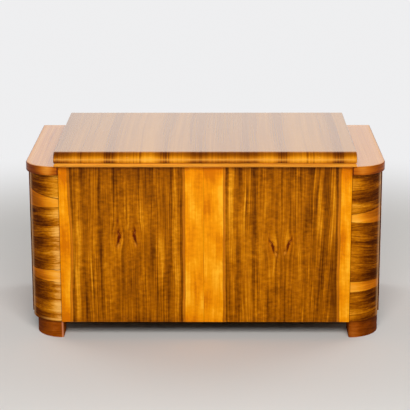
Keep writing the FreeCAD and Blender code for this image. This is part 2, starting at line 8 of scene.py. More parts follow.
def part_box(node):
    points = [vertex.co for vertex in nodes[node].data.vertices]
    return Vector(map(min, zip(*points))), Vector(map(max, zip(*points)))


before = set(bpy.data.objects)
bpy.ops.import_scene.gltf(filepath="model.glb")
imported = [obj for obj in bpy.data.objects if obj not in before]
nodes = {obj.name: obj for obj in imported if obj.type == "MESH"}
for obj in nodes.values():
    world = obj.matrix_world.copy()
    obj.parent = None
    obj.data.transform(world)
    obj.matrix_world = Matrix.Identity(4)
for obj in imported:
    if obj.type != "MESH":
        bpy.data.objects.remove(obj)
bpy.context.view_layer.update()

# Lowest and highest corners of CAD pieces, in metres
PANEL_LOW, PANEL_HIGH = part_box("front_panel")
LEAF_LOW, LEAF_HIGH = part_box("front_leaf_3")
PILLAR_LOW, PILLAR_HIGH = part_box("pillar_veneer_right")
CAP_LOW, CAP_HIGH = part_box("cap_lipping_right")
LID_LOW, LID_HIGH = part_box("lid_leaf_left")

# Places on the chest, in metres
FRONT_BOTTOM = PANEL_LOW.z
FRONT_TOP = PANEL_HIGH.z
CENTRE_JOINT = LEAF_LOW.x
LEAF_WIDTH = LEAF_HIGH.x - LEAF_LOW.x
PILLAR_RADIUS = 0.086
PILLAR_CENTRE_X = PILLAR_HIGH.x - PILLAR_RADIUS
PILLAR_CENTRE_Y = PILLAR_LOW.y + PILLAR_RADIUS
PILLAR_TOP = PILLAR_HIGH.z
CAP_RADIUS = 0.084
CAP_CENTRE_X = CAP_HIGH.x - CAP_RADIUS
CAP_CENTRE_Y = CAP_LOW.y + CAP_RADIUS
CAP_INNER = CAP_LOW.x
CAP_FRONT = CAP_LOW.y
CAP_BOTTOM = CAP_LOW.z
LID_JOINT = LID_HIGH.x
LID_FRONT = LID_LOW.y
LID_TOP = LID_HIGH.z

# The front's figure: offsets from the joint of an inner and an outer leaf, heights from the floor
OUTER_LEAF_SHIFT = 0.004
SAP_START = 0.1625
SAP_WAIST_HEIGHT = 0.270
KNOT_OFFSET = 0.0215
KNOT_HEIGHT_LEFT = 0.2995
KNOT_HEIGHT_RIGHT = 0.2700
KNOT_HALF_WIDTH = 0.0054
KNOT_HALF_LENGTH = 0.0320
KNOT_LEAN = math.radians(13)
TRAIL_HEIGHT = 0.3430

# The other pieces' figure and painted shading
PILLAR_LAP = 0.003
PILLAR_TURN = 0.150
MARK_START = 0.015
MARK_SPAN = 0.0976
LUSTRE_HEIGHT = (0.28, 0.40)
LID_FIGURE_SPAN = 0.470
LIPPING_LAP = 0.004
LIPPING_TURN = 0.150
FOOT_INNER = 0.400
FOOT_SPAN = 0.100
FOOT_MIDDLE = 0.022
END_JOINT = 0.058
SKEW_COSINE = 0.83
SKEW_SINE = 0.55
RING_WIDTH = 0.0115
DARK_BELOW_HEIGHT = (0.10, 0.12)

# Surfaces: depths of relief, widths of worn arrises and sizes of pores, in metres
FINE_RELIEF = 0.00004
COARSE_RELIEF = 0.00006
PLY_RELIEF = 0.00008
BRASS_RELIEF = 0.00003
STEEL_RELIEF = 0.00005
WOOD_ARRIS = 0.0022
BRASS_ARRIS = 0.0008
PORE_WIDTH = 0.0007
PORE_LENGTH = 0.016
PORE_NOISE = (0.60, 0.74)
COAT_ROUGHNESS = 0.07
COAT_IOR = 1.5

# Steps between the seeds of layers of noise
SEED_STEP = 7.3
TIMBER_SEED_STEP = 5.1

# Floor, room, lamps and camera: lengths in metres, powers in watts, the sensor in millimetres. A pair
# of limits is where a change starts and where it is full.
FLOOR_REACH = 40.0
FLOOR_CORNERS = 72
FLOOR_PALE = (0.74, 0.73, 0.715, 1.0)
FLOOR_SHADE = (0.06, 0.046, 0.034, 1.0)
FLOOR_FAR = (0.86, 0.86, 0.87, 1.0)
FAR_DISTANCE = (1.15, 2.10)
BENEATH_X = (0.420, 0.480)
BENEATH_Y = (0.112, 0.156)
BENEATH_SHARE = 0.62
ROOM_COLOUR = (0.87, 0.87, 0.88, 1.0)
ROOM_DARK = 0.12
ROOM_BRIGHT = 1.12
ROOM_CEILING = 0.14
CEILING_RISE = (0.55, 0.85)
WALL_TURN = (-0.10, 0.50)
FOOT_RISE = (0.03, 0.17)
SIDE_TURN = (0.14, 0.20)
SIDE_SHARE = 0.52
LAMP_COLOUR = (1.0, 0.985, 0.96)
KEY_PLACE = (0.35, -4.3, 3.2)
KEY_AIM = (0.0, -0.1, 0.3)
KEY_SIZE = (3.4, 2.0)
KEY_POWER = 228.0
RIM_OUT = 3.0
RIM_BACK = 2.2
RIM_HEIGHT = 2.6
RIM_AIM = (0.0, 0.0, 0.3)
RIM_SIZE = (2.0, 2.0)
RIM_POWER = 30.0
EYE = (0.0377, -4.4030, 1.5204)
TILT = math.radians(15.249)
YAW = math.radians(-0.527)
ROLL = math.radians(-0.137)
FOCAL_PIXELS = 1557.9
IMAGE_PIXELS = 410
SENSOR_WIDTH = 36.0
VIEW_END = 200.0


def srgb(red, green, blue):
    """Linear colour from 0 to 255 display values."""
    def linear(value):
        value /= 255
        return value / 12.92 if value <= 0.04045 else ((value + 0.055) / 1.055) ** 2.4
    return linear(red), linear(green), linear(blue), 1.0


# Ramps of colour, as (place on the ramp, colour)
HEARTWOOD = (
    (0.00, srgb(80, 36, 0)),
    (0.20, srgb(110, 55, 0)),
    (0.42, srgb(150, 82, 1)),
    (0.58, srgb(180, 103, 3)),
    (0.78, srgb(210, 132, 12)),
    (1.00, srgb(236, 160, 34)),
)
SAPWOOD = (
    (0.10, srgb(208, 112, 2)),
    (0.35, srgb(230, 136, 4)),
    (0.55, srgb(240, 151, 8)),
    (0.85, srgb(254, 180, 40)),
)
PILLAR_HEART = (
    (0.00, srgb(58, 20, 0)),
    (0.22, srgb(98, 44, 0)),
    (0.42, srgb(146, 77, 1)),
    (0.60, srgb(190, 113, 6)),
    (0.80, srgb(222, 148, 32)),
    (1.00, srgb(240, 178, 80)),
)
PILLAR_SAP = (
    (0.00, srgb(150, 76, 4)),
    (0.28, srgb(196, 106, 8)),
    (0.56, srgb(234, 146, 22)),
    (0.90, srgb(250, 178, 62)),
)
LID_NOSE = (
    (0.00, srgb(86, 34, 0)),
    (0.22, srgb(118, 56, 0)),
    (0.42, srgb(164, 90, 1)),
    (0.60, srgb(208, 126, 8)),
    (0.80, srgb(240, 160, 28)),
    (1.00, srgb(250, 186, 70)),
)
LID_FLAT = (
    (0.25, srgb(104, 60, 8)),
    (0.45, srgb(172, 108, 18)),
    (0.62, srgb(214, 144, 26)),
    (0.85, srgb(240, 172, 56)),
)
CAP_WOOD = (
    (0.10, srgb(184, 102, 14)),
    (0.40, srgb(224, 138, 24)),
    (0.62, srgb(240, 158, 36)),
    (0.90, srgb(248, 180, 66)),
)
LIPPING_WOOD = (
    (0.00, srgb(80, 26, 0)),
    (0.25, srgb(128, 56, 2)),
    (0.50, srgb(184, 95, 6)),
    (0.75, srgb(216, 134, 38)),
    (1.00, srgb(234, 166, 86)),
)
FRONT_FOOT_WOOD = (
    (0.00, srgb(74, 28, 0)),
    (0.30, srgb(116, 50, 0)),
    (0.50, srgb(148, 70, 4)),
    (0.80, srgb(190, 108, 34)),
)
BRASS = (
    (0.25, srgb(132, 98, 46)),
    (0.48, srgb(188, 148, 74)),
    (0.66, srgb(216, 180, 102)),
    (0.85, srgb(234, 204, 134)),
)
STEEL = (
    (0.35, srgb(120, 116, 110)),
    (0.55, srgb(96, 90, 84)),
    (0.70, srgb(92, 62, 42)),
)

# Dark, middle and light shades of plain woods, and the tones where they are placed
SHADE_TONES = (0.15, 0.50, 0.85)
BEAD_WOOD = (srgb(168, 92, 14), srgb(236, 156, 48), srgb(255, 204, 104))
FOOT_WOOD = (srgb(84, 34, 0), srgb(126, 58, 4), srgb(160, 84, 16))
EDGE_WOOD = (srgb(96, 46, 16), srgb(140, 80, 38), srgb(172, 108, 60))
DARK_EDGE = (srgb(46, 20, 6), srgb(68, 34, 14), srgb(92, 52, 26))
PINE = (srgb(176, 126, 70), srgb(210, 166, 106), srgb(228, 192, 136))
PLY = (srgb(168, 122, 72), srgb(200, 156, 102), srgb(218, 180, 128))
AGED_PINE = (srgb(70, 46, 26), srgb(98, 66, 38), srgb(122, 86, 52))
AGED_PLY = (srgb(128, 88, 48), srgb(164, 120, 72), srgb(186, 144, 94))

# Single colours
SAP_RIM = srgb(206, 118, 18)
SAP_LINE = srgb(76, 30, 0)
SEAM = srgb(120, 56, 2)
BARK = srgb(92, 28, 0)
KNOT_GLOW = srgb(184, 84, 2)
KNOT_TRAIL = srgb(108, 40, 0)
KNOT_EYE = srgb(190, 104, 34)
KNOT_SPARK = srgb(240, 156, 44)
BAND_LINE = srgb(84, 32, 0)
# Painted light and shade on the pillars and the lid's rolled edge: sheen, highlight, shade and glint
PILLAR_LUSTRE = srgb(244, 190, 112)
PILLAR_ARRIS_HIGHLIGHT = srgb(250, 186, 92)
PILLAR_UNDERSIDE_SHADE = srgb(92, 36, 4)
PILLAR_CORNER_SHADE = srgb(84, 26, 0)
PILLAR_SHEEN = srgb(236, 176, 104)
NOSE_GLINT = srgb(246, 176, 78)
LIPPING_END = srgb(84, 18, 0)
# Painted shade under the pillar and painted highlight on the inner arris of the front feet
FOOT_JOINT_SHADE = srgb(62, 22, 0)
FOOT_ARRIS_HIGHLIGHT = srgb(204, 128, 88)
EDGE_WEAR = srgb(214, 150, 84)
FOOT_WEAR = srgb(190, 116, 66)
PINE_WEAR = srgb(190, 148, 96)
# Dark colour of the plywood's faces that look down near the floor
UNDERSIDE_DARK = srgb(44, 30, 20)
BRASS_EDGE = srgb(234, 206, 140)

# Streaks along the grain, as layers of (width, length, weight)
HEART_STREAKS = (
    (0.024, 0.24, 0.24), (0.0095, 0.22, 0.46), (0.0050, 0.26, 0.60), (0.0026, 0.18, 0.52),
    (0.0013, 0.10, 0.28),
)
SAP_STREAKS = ((0.018, 0.20, 0.84), (0.0060, 0.15, 0.56), (0.0026, 0.10, 0.36), (0.0013, 0.06, 0.22))
PILLAR_STREAKS = (
    (0.018, 0.20, 0.32), (0.0060, 0.080, 0.46), (0.0026, 0.045, 0.54), (0.0013, 0.030, 0.36),
)
PILLAR_SAP_STREAKS = ((0.014, 0.20, 0.60), (0.0045, 0.12, 0.40), (0.0016, 0.06, 0.20))
LID_STREAKS = ((0.020, 0.80, 0.40), (0.0080, 0.60, 0.40), (0.0034, 0.45, 0.40))
CAP_STREAKS = ((0.030, 0.70, 0.30), (0.0100, 0.60, 0.40), (0.0050, 0.50, 0.80), (0.0024, 0.30, 0.70))
LIPPING_STREAKS = ((0.010, 0.12, 0.34), (0.0032, 0.06, 0.34), (0.0013, 0.03, 0.22))
LIPPING_TOP_STREAKS = ((0.030, 0.70, 0.36), (0.0090, 0.40, 0.34))
FOOT_STREAKS = ((0.014, 0.09, 0.34), (0.0050, 0.06, 0.36), (0.0022, 0.04, 0.26))
END_STREAKS = (
    (0.040, 0.70, 0.80), (0.014, 0.40, 0.60), (0.0055, 0.22, 0.52), (0.0026, 0.12, 0.40),
    (0.0013, 0.06, 0.18),
)
TIMBER_STREAKS = ((0.030, 0.60, 0.44), (0.0090, 0.35, 0.42), (0.0030, 0.16, 0.38), (0.0012, 0.06, 0.24))
PLY_STREAKS = ((0.050, 0.50, 0.30), (0.0080, 0.20, 0.22), (0.0030, 0.09, 0.26), (0.0014, 0.05, 0.24))

# Broad bands across a piece, as (place, tone)
HEART_BANDS = (
    (0.000, 0.46), (0.014, 0.53), (0.026, 0.44), (0.034, 0.44), (0.044, 0.56), (0.054, 0.50),
    (0.064, 0.40), (0.074, 0.44), (0.086, 0.46), (0.094, 0.58), (0.101, 0.66), (0.108, 0.50),
    (0.115, 0.32), (0.123, 0.30), (0.130, 0.56), (0.136, 0.70), (0.142, 0.66), (0.147, 0.42),
    (0.153, 0.36), (0.160, 0.50),
)
LID_BANDS = (
    (0.000, 0.44), (0.020, 0.38), (0.036, 0.48), (0.054, 0.36), (0.072, 0.44), (0.088, 0.34),
    (0.102, 0.56), (0.130, 0.64), (0.146, 0.50), (0.160, 0.38), (0.172, 0.50), (0.186, 0.62),
    (0.215, 0.68), (0.260, 0.62), (0.292, 0.52), (0.306, 0.40), (0.322, 0.38), (0.336, 0.52),
    (0.362, 0.58), (0.400, 0.50), (0.440, 0.40), (0.462, 0.32),
)
LID_LINES = (0.1505, 0.1575, 0.1645, 0.1709, 0.2285, 0.2459, 0.3043, 0.3125, 0.3190, 0.3254, 0.3900)
# Painted light and shade round a cap's lipping, as (place from its inner end, tone)
LIPPING_SHADING = (
    (0.000, 0.40), (0.008, 0.50), (0.020, 0.62), (0.032, 0.54), (0.050, 0.36), (0.070, 0.24),
    (0.100, 0.30), (0.150, 0.34),
)
# Painted light and shade round the front feet, as (place outwards, tone)
LEFT_FOOT_SHADING = ((0.000, 0.52), (0.030, 0.50), (0.055, 0.38), (0.080, 0.22))
RIGHT_FOOT_SHADING = (
    (0.004, 0.44), (0.014, 0.60), (0.026, 0.54), (0.036, 0.38), (0.050, 0.26), (0.068, 0.20),
    (0.092, 0.18),
)

# Light and dark clouds in the front's figure: x, z, half width, half height, change of tone
HEART_CLOUDS = (
    (-0.248, 0.400, 0.012, 0.075, -0.15),
    (-0.251, 0.245, 0.012, 0.045, 0.16),
    (-0.272, 0.445, 0.014, 0.050, 0.06),
    (-0.282, 0.120, 0.014, 0.060, -0.15),
    (-0.332, 0.120, 0.010, 0.060, -0.12),
    (-0.166, 0.355, 0.010, 0.045, 0.18),
    (-0.148, 0.245, 0.012, 0.050, -0.14),
    (-0.114, 0.245, 0.010, 0.050, 0.12),
    (-0.098, 0.420, 0.010, 0.060, -0.06),
    (0.149, 0.420, 0.014, 0.070, -0.18),
    (0.095, 0.445, 0.010, 0.060, -0.12),
    (0.149, 0.245, 0.018, 0.045, 0.12),
    (0.109, 0.235, 0.010, 0.060, 0.16),
    (0.181, 0.120, 0.010, 0.050, -0.12),
    (0.261, 0.245, 0.012, 0.045, 0.18),
    (0.285, 0.355, 0.012, 0.045, -0.12),
    (0.333, 0.440, 0.010, 0.050, -0.12),
    (0.315, 0.390, 0.010, 0.060, 0.14),
)

# The pillars' figure and painted shading. A band of sapwood is (top, bottom) heights at the inner and the
# outer side, and a mark is (top, bottom, change of tone) at both. Shading is painted light and shade, as
# (place, tone) from the joint with the front outwards. The painted sheen strength is the strength of the
# pale painted sheen beside that joint and of the painted highlight on the lower arris.
PILLARS = {
    "left": SimpleNamespace(
        bands=(
            ((0.4079, 0.3807), (0.4256, 0.3740)),
            ((0.1993, 0.1640), (0.1930, 0.1690)),
        ),
        marks=(
            ((0.4404, 0.4337, -0.10), (0.4526, 0.4280, -0.18)),
            ((0.4337, 0.4090, 0.06), (0.4280, 0.4200, 0.00)),
            ((0.3786, 0.3728, -0.14), (0.3700, 0.3540, -0.20)),
            ((0.3728, 0.3500, 0.14), (0.3540, 0.3480, 0.02)),
            ((0.3496, 0.3244, -0.16), (0.3540, 0.3190, -0.12)),
            ((0.3220, 0.2954, 0.16), (0.3190, 0.3000, 0.02)),
            ((0.2950, 0.2580, -0.08), (0.2840, 0.2470, -0.12)),
            ((0.2568, 0.2394, 0.12), (0.2400, 0.2340, 0.02)),
            ((0.2365, 0.2090, -0.12), (0.2330, 0.1970, -0.22)),
            ((0.1610, 0.1250, -0.06), (0.1690, 0.1100, -0.20)),
            ((0.1150, 0.1100, -0.20), (0.1180, 0.1060, -0.16)),
            ((0.1060, 0.0770, 0.16), (0.0980, 0.0860, 0.02)),
            ((0.0740, 0.0640, -0.12), (0.0756, 0.0553, -0.20)),
        ),
        shading=(
            (0.000, 0.70), (0.012, 0.72), (0.024, 0.60), (0.040, 0.46), (0.058, 0.33), (0.072, 0.30),
            (0.090, 0.36), (0.125, 0.38),
        ),
        painted_sheen_strength=0.60,
        seed=3.0,
    ),
    "right": SimpleNamespace(
        bands=(
            ((0.3618, 0.3362), (0.3728, 0.3262)),
            ((0.1651, 0.1350), (0.1610, 0.1388)),
        ),
        marks=(
            ((0.4800, 0.4590, -0.24), (0.4800, 0.4400, -0.14)),
            ((0.4563, 0.4259, 0.16), (0.4404, 0.4259, 0.08)),
            ((0.4215, 0.3960, -0.16), (0.4259, 0.3800, -0.20)),
            ((0.3920, 0.3635, 0.16), (0.3790, 0.3740, 0.10)),
            ((0.3350, 0.3050, -0.06), (0.3260, 0.3000, -0.10)),
            ((0.3050, 0.2900, 0.10), (0.2960, 0.2880, 0.00)),
            ((0.2860, 0.2700, -0.12), (0.2880, 0.2620, -0.12)),
            ((0.2600, 0.2050, 0.08), (0.2500, 0.2200, -0.04)),
            ((0.1900, 0.1670, -0.10), (0.1950, 0.1630, -0.16)),
            ((0.1320, 0.1080, -0.12), (0.1390, 0.0900, -0.22)),
            ((0.1050, 0.0950, -0.06), (0.1080, 0.0900, -0.10)),
            ((0.0860, 0.0550, 0.18), (0.0800, 0.0640, 0.04)),
        ),
        shading=(
            (0.000, 0.50), (0.012, 0.52), (0.028, 0.45), (0.046, 0.35), (0.064, 0.26), (0.076, 0.25),
            (0.090, 0.34), (0.125, 0.36),
        ),
        painted_sheen_strength=0.0,
        seed=58.0,
    ),
}


class Value:
    """A node output that ordinary arithmetic turns into more nodes."""

    def __init__(self, graph, socket):
        self.graph = graph
        self.socket = socket

    def __add__(self, other):
        return self.graph.math("ADD", self, other)

    __radd__ = __add__

    def __sub__(self, other):
        return self.graph.math("SUBTRACT", self, other)

    def __rsub__(self, other):
        return self.graph.math("SUBTRACT", other, self)

    def __mul__(self, other):
        return self.graph.math("MULTIPLY", self, other)

    __rmul__ = __mul__

    def __truediv__(self, other):
        return self.graph.math("DIVIDE", self, other)

    def __neg__(self):
        return self * -1.0

    def __abs__(self):
        return self.graph.math("ABSOLUTE", self)

    def __gt__(self, other):
        return self.graph.math("GREATER_THAN", self, other)

    def __lt__(self, other):
        return self.graph.math("LESS_THAN", self, other)


class Graph:
    """A node tree built with short calls."""

    def __init__(self, tree):
        self.tree = tree
        self.tree.nodes.clear()

    def node(self, kind, **settings):
        made = self.tree.nodes.new(kind)
        for name, value in settings.items():
            setattr(made, name, value)
        return made

    def feed(self, socket, value):
        if isinstance(value, Value):
            self.tree.links.new(value.socket, socket)
        else:
            socket.default_value = value

    def math(self, operation, *values):
        made = self.node("ShaderNodeMath", operation=operation)
        for socket, value in zip(made.inputs, values):
            self.feed(socket, value)
        return Value(self, made.outputs[0])

    def parts(self, socket):
        """The x, y and z of a vector."""
        made = self.node("ShaderNodeSeparateXYZ")
        self.tree.links.new(socket, made.inputs[0])
        return [Value(self, output) for output in made.outputs]

    def position(self):
        """Place on a piece at rest, in metres."""
        return self.parts(self.node("ShaderNodeTexCoord").outputs["Object"])

    def normal(self):
        return self.parts(self.node("ShaderNodeNewGeometry").outputs["Normal"])

    def vector(self, x, y, z):
        made = self.node("ShaderNodeCombineXYZ")
        for socket, value in zip(made.inputs, (x, y, z)):
            self.feed(socket, value)
        return Value(self, made.outputs[0])

    def noise(self, x, y, z, detail=2.0, roughness=0.5):
        made = self.node("ShaderNodeTexNoise")
        self.feed(made.inputs["Vector"], self.vector(x, y, z))
        made.inputs["Scale"].default_value = 1.0
        made.inputs["Detail"].default_value = detail
        made.inputs["Roughness"].default_value = roughness
        return Value(self, made.outputs[0])

    def waver(self, x, y, z, detail=2.0):
        """Noise about zero."""
        return self.noise(x, y, z, detail) - 0.5

    def smooth(self, value, low, high):
        """0 below low, 1 above high, and smooth between."""
        made = self.node("ShaderNodeMapRange", interpolation_type="SMOOTHSTEP")
        self.feed(made.inputs[0], value)
        self.feed(made.inputs[1], low)
        self.feed(made.inputs[2], high)
        return Value(self, made.outputs[0])

    def bell(self, value, width):
        """1 where value is 0, falling to nothing over about twice the width."""
        part = value / width
        return self.math("EXPONENT", -(part * part))

    def choose(self, share, first, second):
        """first where share is 0, second where it is 1, for numbers."""
        return first + (second - first) * share

    def mix(self, share, first, second):
        """first where share is 0, second where it is 1, for colours."""
        made = self.node("ShaderNodeMix", data_type="RGBA")
        self.feed(made.inputs[0], share)
        self.feed(made.inputs[6], first)
        self.feed(made.inputs[7], second)
        return Value(self, made.outputs[2])

    def ramp(self, value, stops, interpolation="LINEAR"):
        made = self.node("ShaderNodeValToRGB")
        made.color_ramp.interpolation = interpolation
        elements = made.color_ramp.elements
        while len(elements) < len(stops):
            elements.new(1.0)
        for element, (place, colour) in zip(elements, stops):
            element.position = place
            element.color = colour
        self.feed(made.inputs[0], value)
        return Value(self, made.outputs[0])

    def profile(self, value, span, stops):
        """Tone along a width, from listed (place, tone) pairs."""
        greys = [(place / span, (tone, tone, tone, 1.0)) for place, tone in stops]
        return self.ramp(value / span, greys, "B_SPLINE")

    def streaks(self, across, along, seed, layers):
        """Sum of stretched noises about zero. A layer is (width, length, weight)."""
        total = 0.0
        for number, (width, length, weight) in enumerate(layers):
            layer = self.waver(across / width, along / length, seed + SEED_STEP * number)
            total = layer * weight + total
        return total

    def edges(self, radius):
        """1 on an arris, 0 on the flats beside it."""
        bevel = self.node("ShaderNodeBevel", samples=6)
        bevel.inputs["Radius"].default_value = radius
        plain = self.node("ShaderNodeNewGeometry")
        dot = self.node("ShaderNodeVectorMath", operation="DOT_PRODUCT")
        self.tree.links.new(bevel.outputs[0], dot.inputs[0])
        self.tree.links.new(plain.outputs["Normal"], dot.inputs[1])
        return self.smooth(1.0 - Value(self, dot.outputs["Value"]), 0.02, 0.25)


def new_graph(name):
    material = bpy.data.materials.new(name)
    material.use_nodes = True
    return material, Graph(material.node_tree)


def finish(graph, colour, roughness, relief, depth, **levels):
    """Close a graph with a shader. Levels go to the shader's own sockets."""
    shader = graph.node("ShaderNodeBsdfPrincipled")
    output = graph.node("ShaderNodeOutputMaterial")
    graph.tree.links.new(shader.outputs[0], output.inputs[0])
    graph.feed(shader.inputs["Base Color"], colour)
    graph.feed(shader.inputs["Roughness"], roughness)
    for name, value in levels.items():
        graph.feed(shader.inputs[name.replace("_", " ")], value)
    bump = graph.node("ShaderNodeBump")
    bump.inputs["Strength"].default_value = 1.0
    bump.inputs["Distance"].default_value = depth
    graph.feed(bump.inputs["Height"], relief)
    graph.tree.links.new(bump.outputs[0], shader.inputs["Normal"])


def lacquer(graph, colour, roughness, relief, coat, specular, depth=FINE_RELIEF):
    """Gloss finish over wood."""
    finish(
        graph, colour, roughness, relief, depth, Specular_IOR_Level=specular,
        Coat_Weight=coat, Coat_Roughness=COAT_ROUGHNESS, Coat_IOR=COAT_IOR,
    )


def pores(graph, across, along, seed):
    """Short dark vessels along the grain."""
    fine = graph.noise(across / PORE_WIDTH, along / PORE_LENGTH, seed, detail=1.0)
    return graph.smooth(fine, *PORE_NOISE)


def shade_stops(shades):
    """Ramp stops for dark, middle and light shades."""
    return tuple(zip(SHADE_TONES, shades))


def front_places(graph):
    """Places on the book-matched front, measured from the joints of its leaves.

    Each leaf has a number of its own, which sets its noise apart from the others'.
    """
    at = SimpleNamespace()
    at.x, _, at.z = graph.position()
    at.from_centre = at.x - CENTRE_JOINT
    at.right = at.from_centre > 0.0
    at.left = 1.0 - at.right
    at.outer = abs(at.from_centre) > LEAF_WIDTH
    at.inner = 1.0 - at.outer
    at.across = abs(abs(at.from_centre) - LEAF_WIDTH)
    along = graph.choose(at.right, at.z - KNOT_HEIGHT_LEFT, KNOT_HEIGHT_RIGHT - at.z)
    at.along = along + at.outer * OUTER_LEAF_SHIFT
    at.leaf = at.right * 0.55 + at.outer * 0.32
    at.off_knot = at.across - KNOT_OFFSET
    return at


def front_grain(graph, at):
    """Add the place across the grain, which bends round the knots, and the marks that follow it."""
    slow = graph.waver(at.across / 0.16, at.along / 0.33, at.leaf + 3.0)
    quick = graph.waver(at.across / 0.05, at.along / 0.12, at.leaf + 9.0)
    at.wobble = slow * 0.012 + quick * 0.005
    swell = graph.bell(at.off_knot, 0.018) * graph.bell(at.along, 0.034)
    leaning = graph.smooth(at.across, 0.06, 0.11) * (1.0 - graph.smooth(at.across, 0.140, 0.160))
    askew = (at.z - KNOT_HEIGHT_RIGHT) * at.right * at.outer * leaning * 0.05
    past_joint = graph.smooth(at.across, -0.01, 0.02)
    at.grain = at.across - at.off_knot * swell * 0.8 + at.wobble * past_joint - askew
    at.ripple = graph.waver(at.grain / 0.014, at.along / 0.0085, at.leaf + 41.0, detail=1.0)
    at.cloud = graph.waver(at.grain / 0.05, at.along / 0.09, at.leaf + 51.0, detail=3.0)
    at.vessel = pores(graph, at.grain, at.along, at.leaf + 61.0)


def front_shadow(graph, z):
    """Painted shadow on the front under the lid, and painted shade along its bottom."""
    under_lid = graph.smooth(z, FRONT_TOP - 0.070, FRONT_TOP)
    near_floor = 1.0 - graph.smooth(z, FRONT_BOTTOM, FRONT_BOTTOM + 0.032)
    return under_lid * 0.15 + near_floor * 0.10


def front_heart_tone(graph, at):
    broad = graph.profile(at.grain, LEAF_WIDTH, HEART_BANDS)
    fade = graph.noise(at.grain / 0.030, at.along / 0.16, at.leaf + 21.0, detail=3.0)
    tone = 0.48 + (broad - 0.48) * (fade * 1.5 - 0.05)
    busy = 0.62 + graph.smooth(at.across, 0.020, 0.085) * 0.50
    tone = tone + busy * graph.streaks(at.grain, at.along, at.leaf + 31.0, HEART_STREAKS)
    for cloud_x, cloud_z, half_width, half_height, change in HEART_CLOUDS:
        column = graph.bell(at.x - cloud_x + at.wobble, half_width)
        tone = tone + column * graph.bell(at.z - cloud_z, half_height) * change
    tone = tone + at.right * at.inner * 0.085 + at.left * at.outer * 0.035 + at.left * 0.012
    thread = graph.noise(at.grain / 0.0042, at.along / 0.150, at.leaf + 37.0, detail=1.0)
    hairline = graph.noise(at.grain / 0.0048, at.along / 0.40, at.leaf + 35.0, detail=0.0)
    tone = tone + graph.smooth(thread, 0.58, 0.72) * 0.15 - graph.smooth(hairline, 0.62, 0.70) * 0.15
    halo = graph.bell(at.off_knot, 0.018) * graph.bell(at.along + 0.008, 0.032)
    tone = tone + at.ripple * (fade * 0.95 - 0.08) + at.cloud * (0.30 + at.right * 0.14)
    return tone + halo * 0.20 - 0.03 - at.shadow


def front_sap_tone(graph, at):
    tone = 0.50 + graph.streaks(at.grain, at.along, at.leaf + 71.0, SAP_STREAKS)
    tone = tone + at.cloud * 1.30 + at.ripple * 0.38 - at.vessel * 0.14 - at.shadow * 1.5
    return tone - at.outer * (0.22 - at.right * 0.19)


def join_sapwood(graph, at, heart, sap):
    """Heartwood and sapwood side by side, with the lines where they meet."""
    wander = graph.waver(at.along / 0.05, at.leaf, 81.0) * 0.003
    bulge = graph.bell(at.z - SAP_WAIST_HEIGHT, 0.110) * at.left * at.outer * 0.0065
    shift = at.right * (at.inner - at.outer) * 0.003
    edge = at.grain - SAP_START + wander + bulge + shift
    broken = graph.smooth(graph.noise(at.along / 0.07, at.grain / 0.02, at.leaf + 85.0), 0.30, 0.62)
    rim = graph.smooth(edge, -0.0086, -0.0052) * (0.34 + broken * 0.36)
    heart = graph.mix(rim, heart, SAP_RIM)
    colour = graph.mix(graph.smooth(edge, -0.0014, 0.0014), heart, sap)
    ends = graph.smooth(abs(at.z - SAP_WAIST_HEIGHT), 0.020, 0.130)
    inner_line = graph.bell(edge + 0.0105, 0.0027) * (0.55 + ends * 0.45) * (1.0 - broken * 0.50)
    outer_line = graph.bell(edge + 0.0008, 0.0011) * (0.30 + broken * 0.40)
    return graph.mix(inner_line * 0.78 + outer_line * 0.45, colour, SAP_LINE)


def front_knots(graph, at, colour):
    """Colour with the bark knots in it, and the knots' own share."""
    hook_place = graph.choose(at.right, at.along, -at.along) - 0.004
    hook = graph.smooth(hook_place, 0.002, 0.014) * 0.0055
    ragged = graph.waver(at.across / 0.005, at.along / 0.008, at.leaf + 91.0, detail=3.0) * 0.0066
    sideways = at.off_knot + ragged - hook
    side = sideways * math.cos(KNOT_LEAN) + at.along * math.sin(KNOT_LEAN)
    length = at.along * math.cos(KNOT_LEAN) - sideways * math.sin(KNOT_LEAN)
    side_share = side / KNOT_HALF_WIDTH
    length_share = length / KNOT_HALF_LENGTH
    reach = graph.math("SQRT", side_share * side_share + length_share * length_share)
    body = 1.0 - graph.smooth(reach - at.left * 0.14, 0.30, 1.10)
    spur = graph.bell(side + 0.0062, 0.0022) * graph.bell(hook_place - 0.010, 0.0030)
    speck = graph.bell(side + 0.0055, 0.0020) * graph.bell(hook_place + 0.0200, 0.0034)
    knot = graph.math("MAXIMUM", body, (spur + speck) * 0.75)
    glow = graph.bell(side, 0.0090) * graph.bell(length, 0.0240)
    trail = graph.bell(at.off_knot - 0.0030, 0.0032) * graph.bell(at.z - TRAIL_HEIGHT, 0.0090) * at.left
    eye = graph.bell(side - 0.0010, 0.0014) * graph.bell(hook_place - 0.006, 0.0042)
    spark = graph.bell(side + 0.0030, 0.0030) * graph.bell(hook_place + 0.0275, 0.0055)
    colour = graph.mix(glow * 0.34, colour, KNOT_GLOW)
    colour = graph.mix(trail * (0.40 + at.outer * 0.40), colour, KNOT_TRAIL)
    colour = graph.mix(knot, colour, BARK)
    colour = graph.mix(eye * 0.55, colour, KNOT_EYE)
    colour = graph.mix(spark * 0.45, colour, KNOT_SPARK)
    return colour, knot


def front_veneer():
    """Four book-matched leaves, each with a knot, dark heartwood and a pale strip of sapwood."""
    material, graph = new_graph("front_veneer_walnut")
    at = front_places(graph)
    front_grain(graph, at)
    at.shadow = front_shadow(graph, at.z)
    tone = front_heart_tone(graph, at)
    heart = graph.ramp(tone - at.vessel * 0.10, HEARTWOOD)
    sap = graph.ramp(front_sap_tone(graph, at), SAPWOOD)
    colour = join_sapwood(graph, at, heart, sap)
    seam = graph.bell(at.from_centre, 0.0008) * 0.34 + graph.bell(at.across, 0.0006) * 0.16
    colour = graph.mix(seam, colour, SEAM)
    colour, knot = front_knots(graph, at, colour)
    relief = tone * 0.3 - at.vessel - knot * 2.0
    roughness = 0.30 + (0.5 - tone) * 0.10 + at.vessel * 0.1
    lacquer(graph, colour, roughness, relief, coat=0.07, specular=0.0)
    return material


